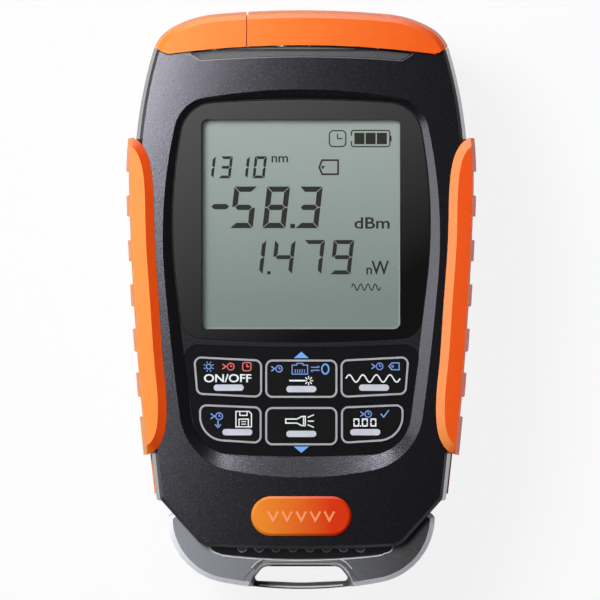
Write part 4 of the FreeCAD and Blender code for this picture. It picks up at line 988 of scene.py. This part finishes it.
def tester_edge_highlights():
    """Painted highlights along the edges of the tester's window, lanyard slot and bar, with a line of painted
    shade between the slot's two.
    """
    place = ("remote_front_shell", "remote", "tester_plastic")
    sill = SILL_END + SILL_ARC + mirrored(SILL_END)
    bright = [(sill, SILL_WIDTH)] + [(slot_arch(grow), width) for grow, width in SLOT_BRIGHT]
    grow, width = SLOT_PAINTED_SHADE
    laid_lines("tester_edge_highlights", bright, "trim", *place)
    laid_lines("slot_painted_shade", [(slot_arch(grow), width)], "groove", *place)
    laid_lines("bar_painted_highlight", [(BAR_ARC, BAR_WIDTH)], "trim", *place)


LAMP_COUNT = 8
LAMP_RADIUS = 0.95 * MM
LAMP_RING_PLAY = 0.02 * MM
LAMP_RING_WIRE = 0.09 * MM
LAMP_RING_SINK = 0.06 * MM


def tester_rings():
    """Bright ring round the end of each light pipe."""
    low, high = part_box("remote_lamps")
    pitch = (high.x - low.x - 2 * LAMP_RADIUS) / (LAMP_COUNT - 1)
    start = Vector((low.x + LAMP_RADIUS, (low.y + high.y) / 2, high.z - LAMP_RING_SINK))
    ring_row("lamp_rings", LAMP_COUNT, start, Vector((pitch, 0, 0)), Vector((0, 0, 0)),
             LAMP_RADIUS + LAMP_RING_PLAY, LAMP_RING_WIRE, "trim", "remote")


THREAD_TURNS = 10
THREAD_PITCH = 0.55 * MM
THREAD_RADIUS = 4.0 * MM
THREAD_LENGTH = 6.4 * MM
THREAD_WIRE = 0.16 * MM


def adapter_thread():
    """Rings that stand for the thread of the power meter's adapter."""
    low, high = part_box("opm_adapter")
    start = Vector(((low.x + high.x) / 2, high.y - THREAD_LENGTH, (low.z + high.z) / 2))
    ring_row("adapter_thread", THREAD_TURNS, start, Vector((0, THREAD_PITCH, 0)), Vector((math.pi / 2, 0, 0)),
             THREAD_RADIUS, THREAD_WIRE, "nickel", "housing")


lens_border()
lens_pane()
display_print()
key_legends()
button_relief()
recess_painted_shade_and_highlight()
tester_rings()
tester_edge_highlights()
adapter_thread()


# ---------------------------------------------------------------- floor, stand, lights and camera
FLOOR_SIZE = 3.0
PAPER = (0.9, 0.9, 0.9, 1.0)
PAPER_GLOW = 0.87
WORLD_LIGHT = 0.12

STAND_LOW = (-28 * MM, -34 * MM)
STAND_HIGH = (28 * MM, 44 * MM)
STAND_HEIGHT = 12 * MM
STAND_GAP = 0.1 * MM

LAMP_AIM = Vector((0, 0, 0.02))

# name, place and size in metres, power, and whether only gloss shows it
LAMPS = (
    ("key_light", (-0.33, 0.27, 0.72), (0.34, 0.34), 6.6, False),
    ("left_panel", (-0.40, 0.13, 0.57), (0.75, 0.4), 18.0, True),
    ("left_low_panel", (-0.55, 0.05, 0.12), (0.5, 0.22), 1.8, True),
    ("far_low_panel", (-0.05, 0.55, 0.12), (0.5, 0.22), 14.0, True),
)

# the view is FRAME_WIDTH across at FRAME_Z, the height of the part's front
CAMERA_PLACE = (-0.27 * MM, -0.1 * MM, 3.0)
SENSOR = 36
FRAME_WIDTH = 0.1239
FRAME_Z = 0.027
VIEW_END = 20


def stage_piece(name, form, material):
    """Part of the studio, which isn't part of the object."""
    mesh = bpy.data.meshes.new(name)
    form.to_mesh(mesh)
    form.free()
    mesh.materials.append(material)
    new_object(name, mesh)


def floor(material):
    form = bmesh.new()
    bmesh.ops.create_grid(form, x_segments=1, y_segments=1, size=FLOOR_SIZE / 2)
    for v in form.verts:
        v.co.z = cad_box[0].z - STAND_HEIGHT
    stage_piece("floor", form, material)


def stand(material):
    """Low block under the housing, which leaves room for the open covers to hang over its end."""
    top, foot = cad_box[0].z - STAND_GAP, cad_box[0].z - STAND_HEIGHT
    form = bmesh.new()
    bmesh.ops.create_cube(form, size=1)
    for v in form.verts:
        v.co = Vector((STAND_HIGH[0] if v.co.x > 0 else STAND_LOW[0],
                       STAND_HIGH[1] if v.co.y > 0 else STAND_LOW[1], top if v.co.z > 0 else foot))
    stage_piece("stand", form, material)


def studio_paper():
    """White paper that stays white to the camera and in gloss, and keeps a soft shadow."""
    material = bpy.data.materials.new("floor_paper")
    material.use_nodes = True
    nodes, links = material.node_tree.nodes, material.node_tree.links
    nodes.clear()

    def maths(operation, first, second):
        node = nodes.new("ShaderNodeMath")
        node.operation = operation
        node.use_clamp = True
        feed(links, node.inputs[0], first)
        feed(links, node.inputs[1], second)
        return node.outputs[0]
    ray = nodes.new("ShaderNodeLightPath").outputs
    in_gloss = maths("ADD", ray["Is Glossy Ray"], ray["Is Transmission Ray"])
    seen = maths("ADD", ray["Is Camera Ray"], in_gloss)
    diffuse, glow = nodes.new("ShaderNodeBsdfDiffuse"), nodes.new("ShaderNodeEmission")
    diffuse.inputs["Color"].default_value = PAPER
    glow.inputs["Color"].default_value = WHITE
    mix = nodes.new("ShaderNodeMixShader")
    shares = (maths("MULTIPLY", seen, PAPER_GLOW), diffuse.outputs[0], glow.outputs[0])
    for socket, value in zip(mix.inputs, shares):
        links.new(value, socket)
    links.new(mix.outputs[0], nodes.new("ShaderNodeOutputMaterial").inputs["Surface"])
    return material


def soft_lamp(name, place, size, power, only_gloss):
    data = bpy.data.lights.new(name, "AREA")
    data.shape = "RECTANGLE"
    data.size, data.size_y = size
    data.energy = power
    lamp = new_object(name, data)
    lamp.visible_diffuse = not only_gloss
    lamp.location = place
    lamp.rotation_euler = (LAMP_AIM - Vector(place)).to_track_quat("-Z", "Y").to_euler()


def white_world():
    world = bpy.data.worlds.new("studio")
    world.use_nodes = True
    background = world.node_tree.nodes["Background"]
    background.inputs["Color"].default_value = WHITE
    background.inputs["Strength"].default_value = WORLD_LIGHT
    bpy.context.scene.world = world


def overhead_camera():
    """Camera straight above the part, far enough for an almost flat view."""
    data = bpy.data.cameras.new("camera")
    data.sensor_width = SENSOR
    data.lens = SENSOR * (CAMERA_PLACE[2] - FRAME_Z) / FRAME_WIDTH
    data.clip_end = VIEW_END
    camera = new_object("camera", data)
    camera.location = CAMERA_PLACE
    bpy.context.scene.camera = camera


PAPER_MATERIAL = studio_paper()
floor(PAPER_MATERIAL)
stand(PAPER_MATERIAL)
white_world()
for lamp_settings in LAMPS:
    soft_lamp(*lamp_settings)
overhead_camera()
bpy.context.scene.view_settings.view_transform = "Standard"
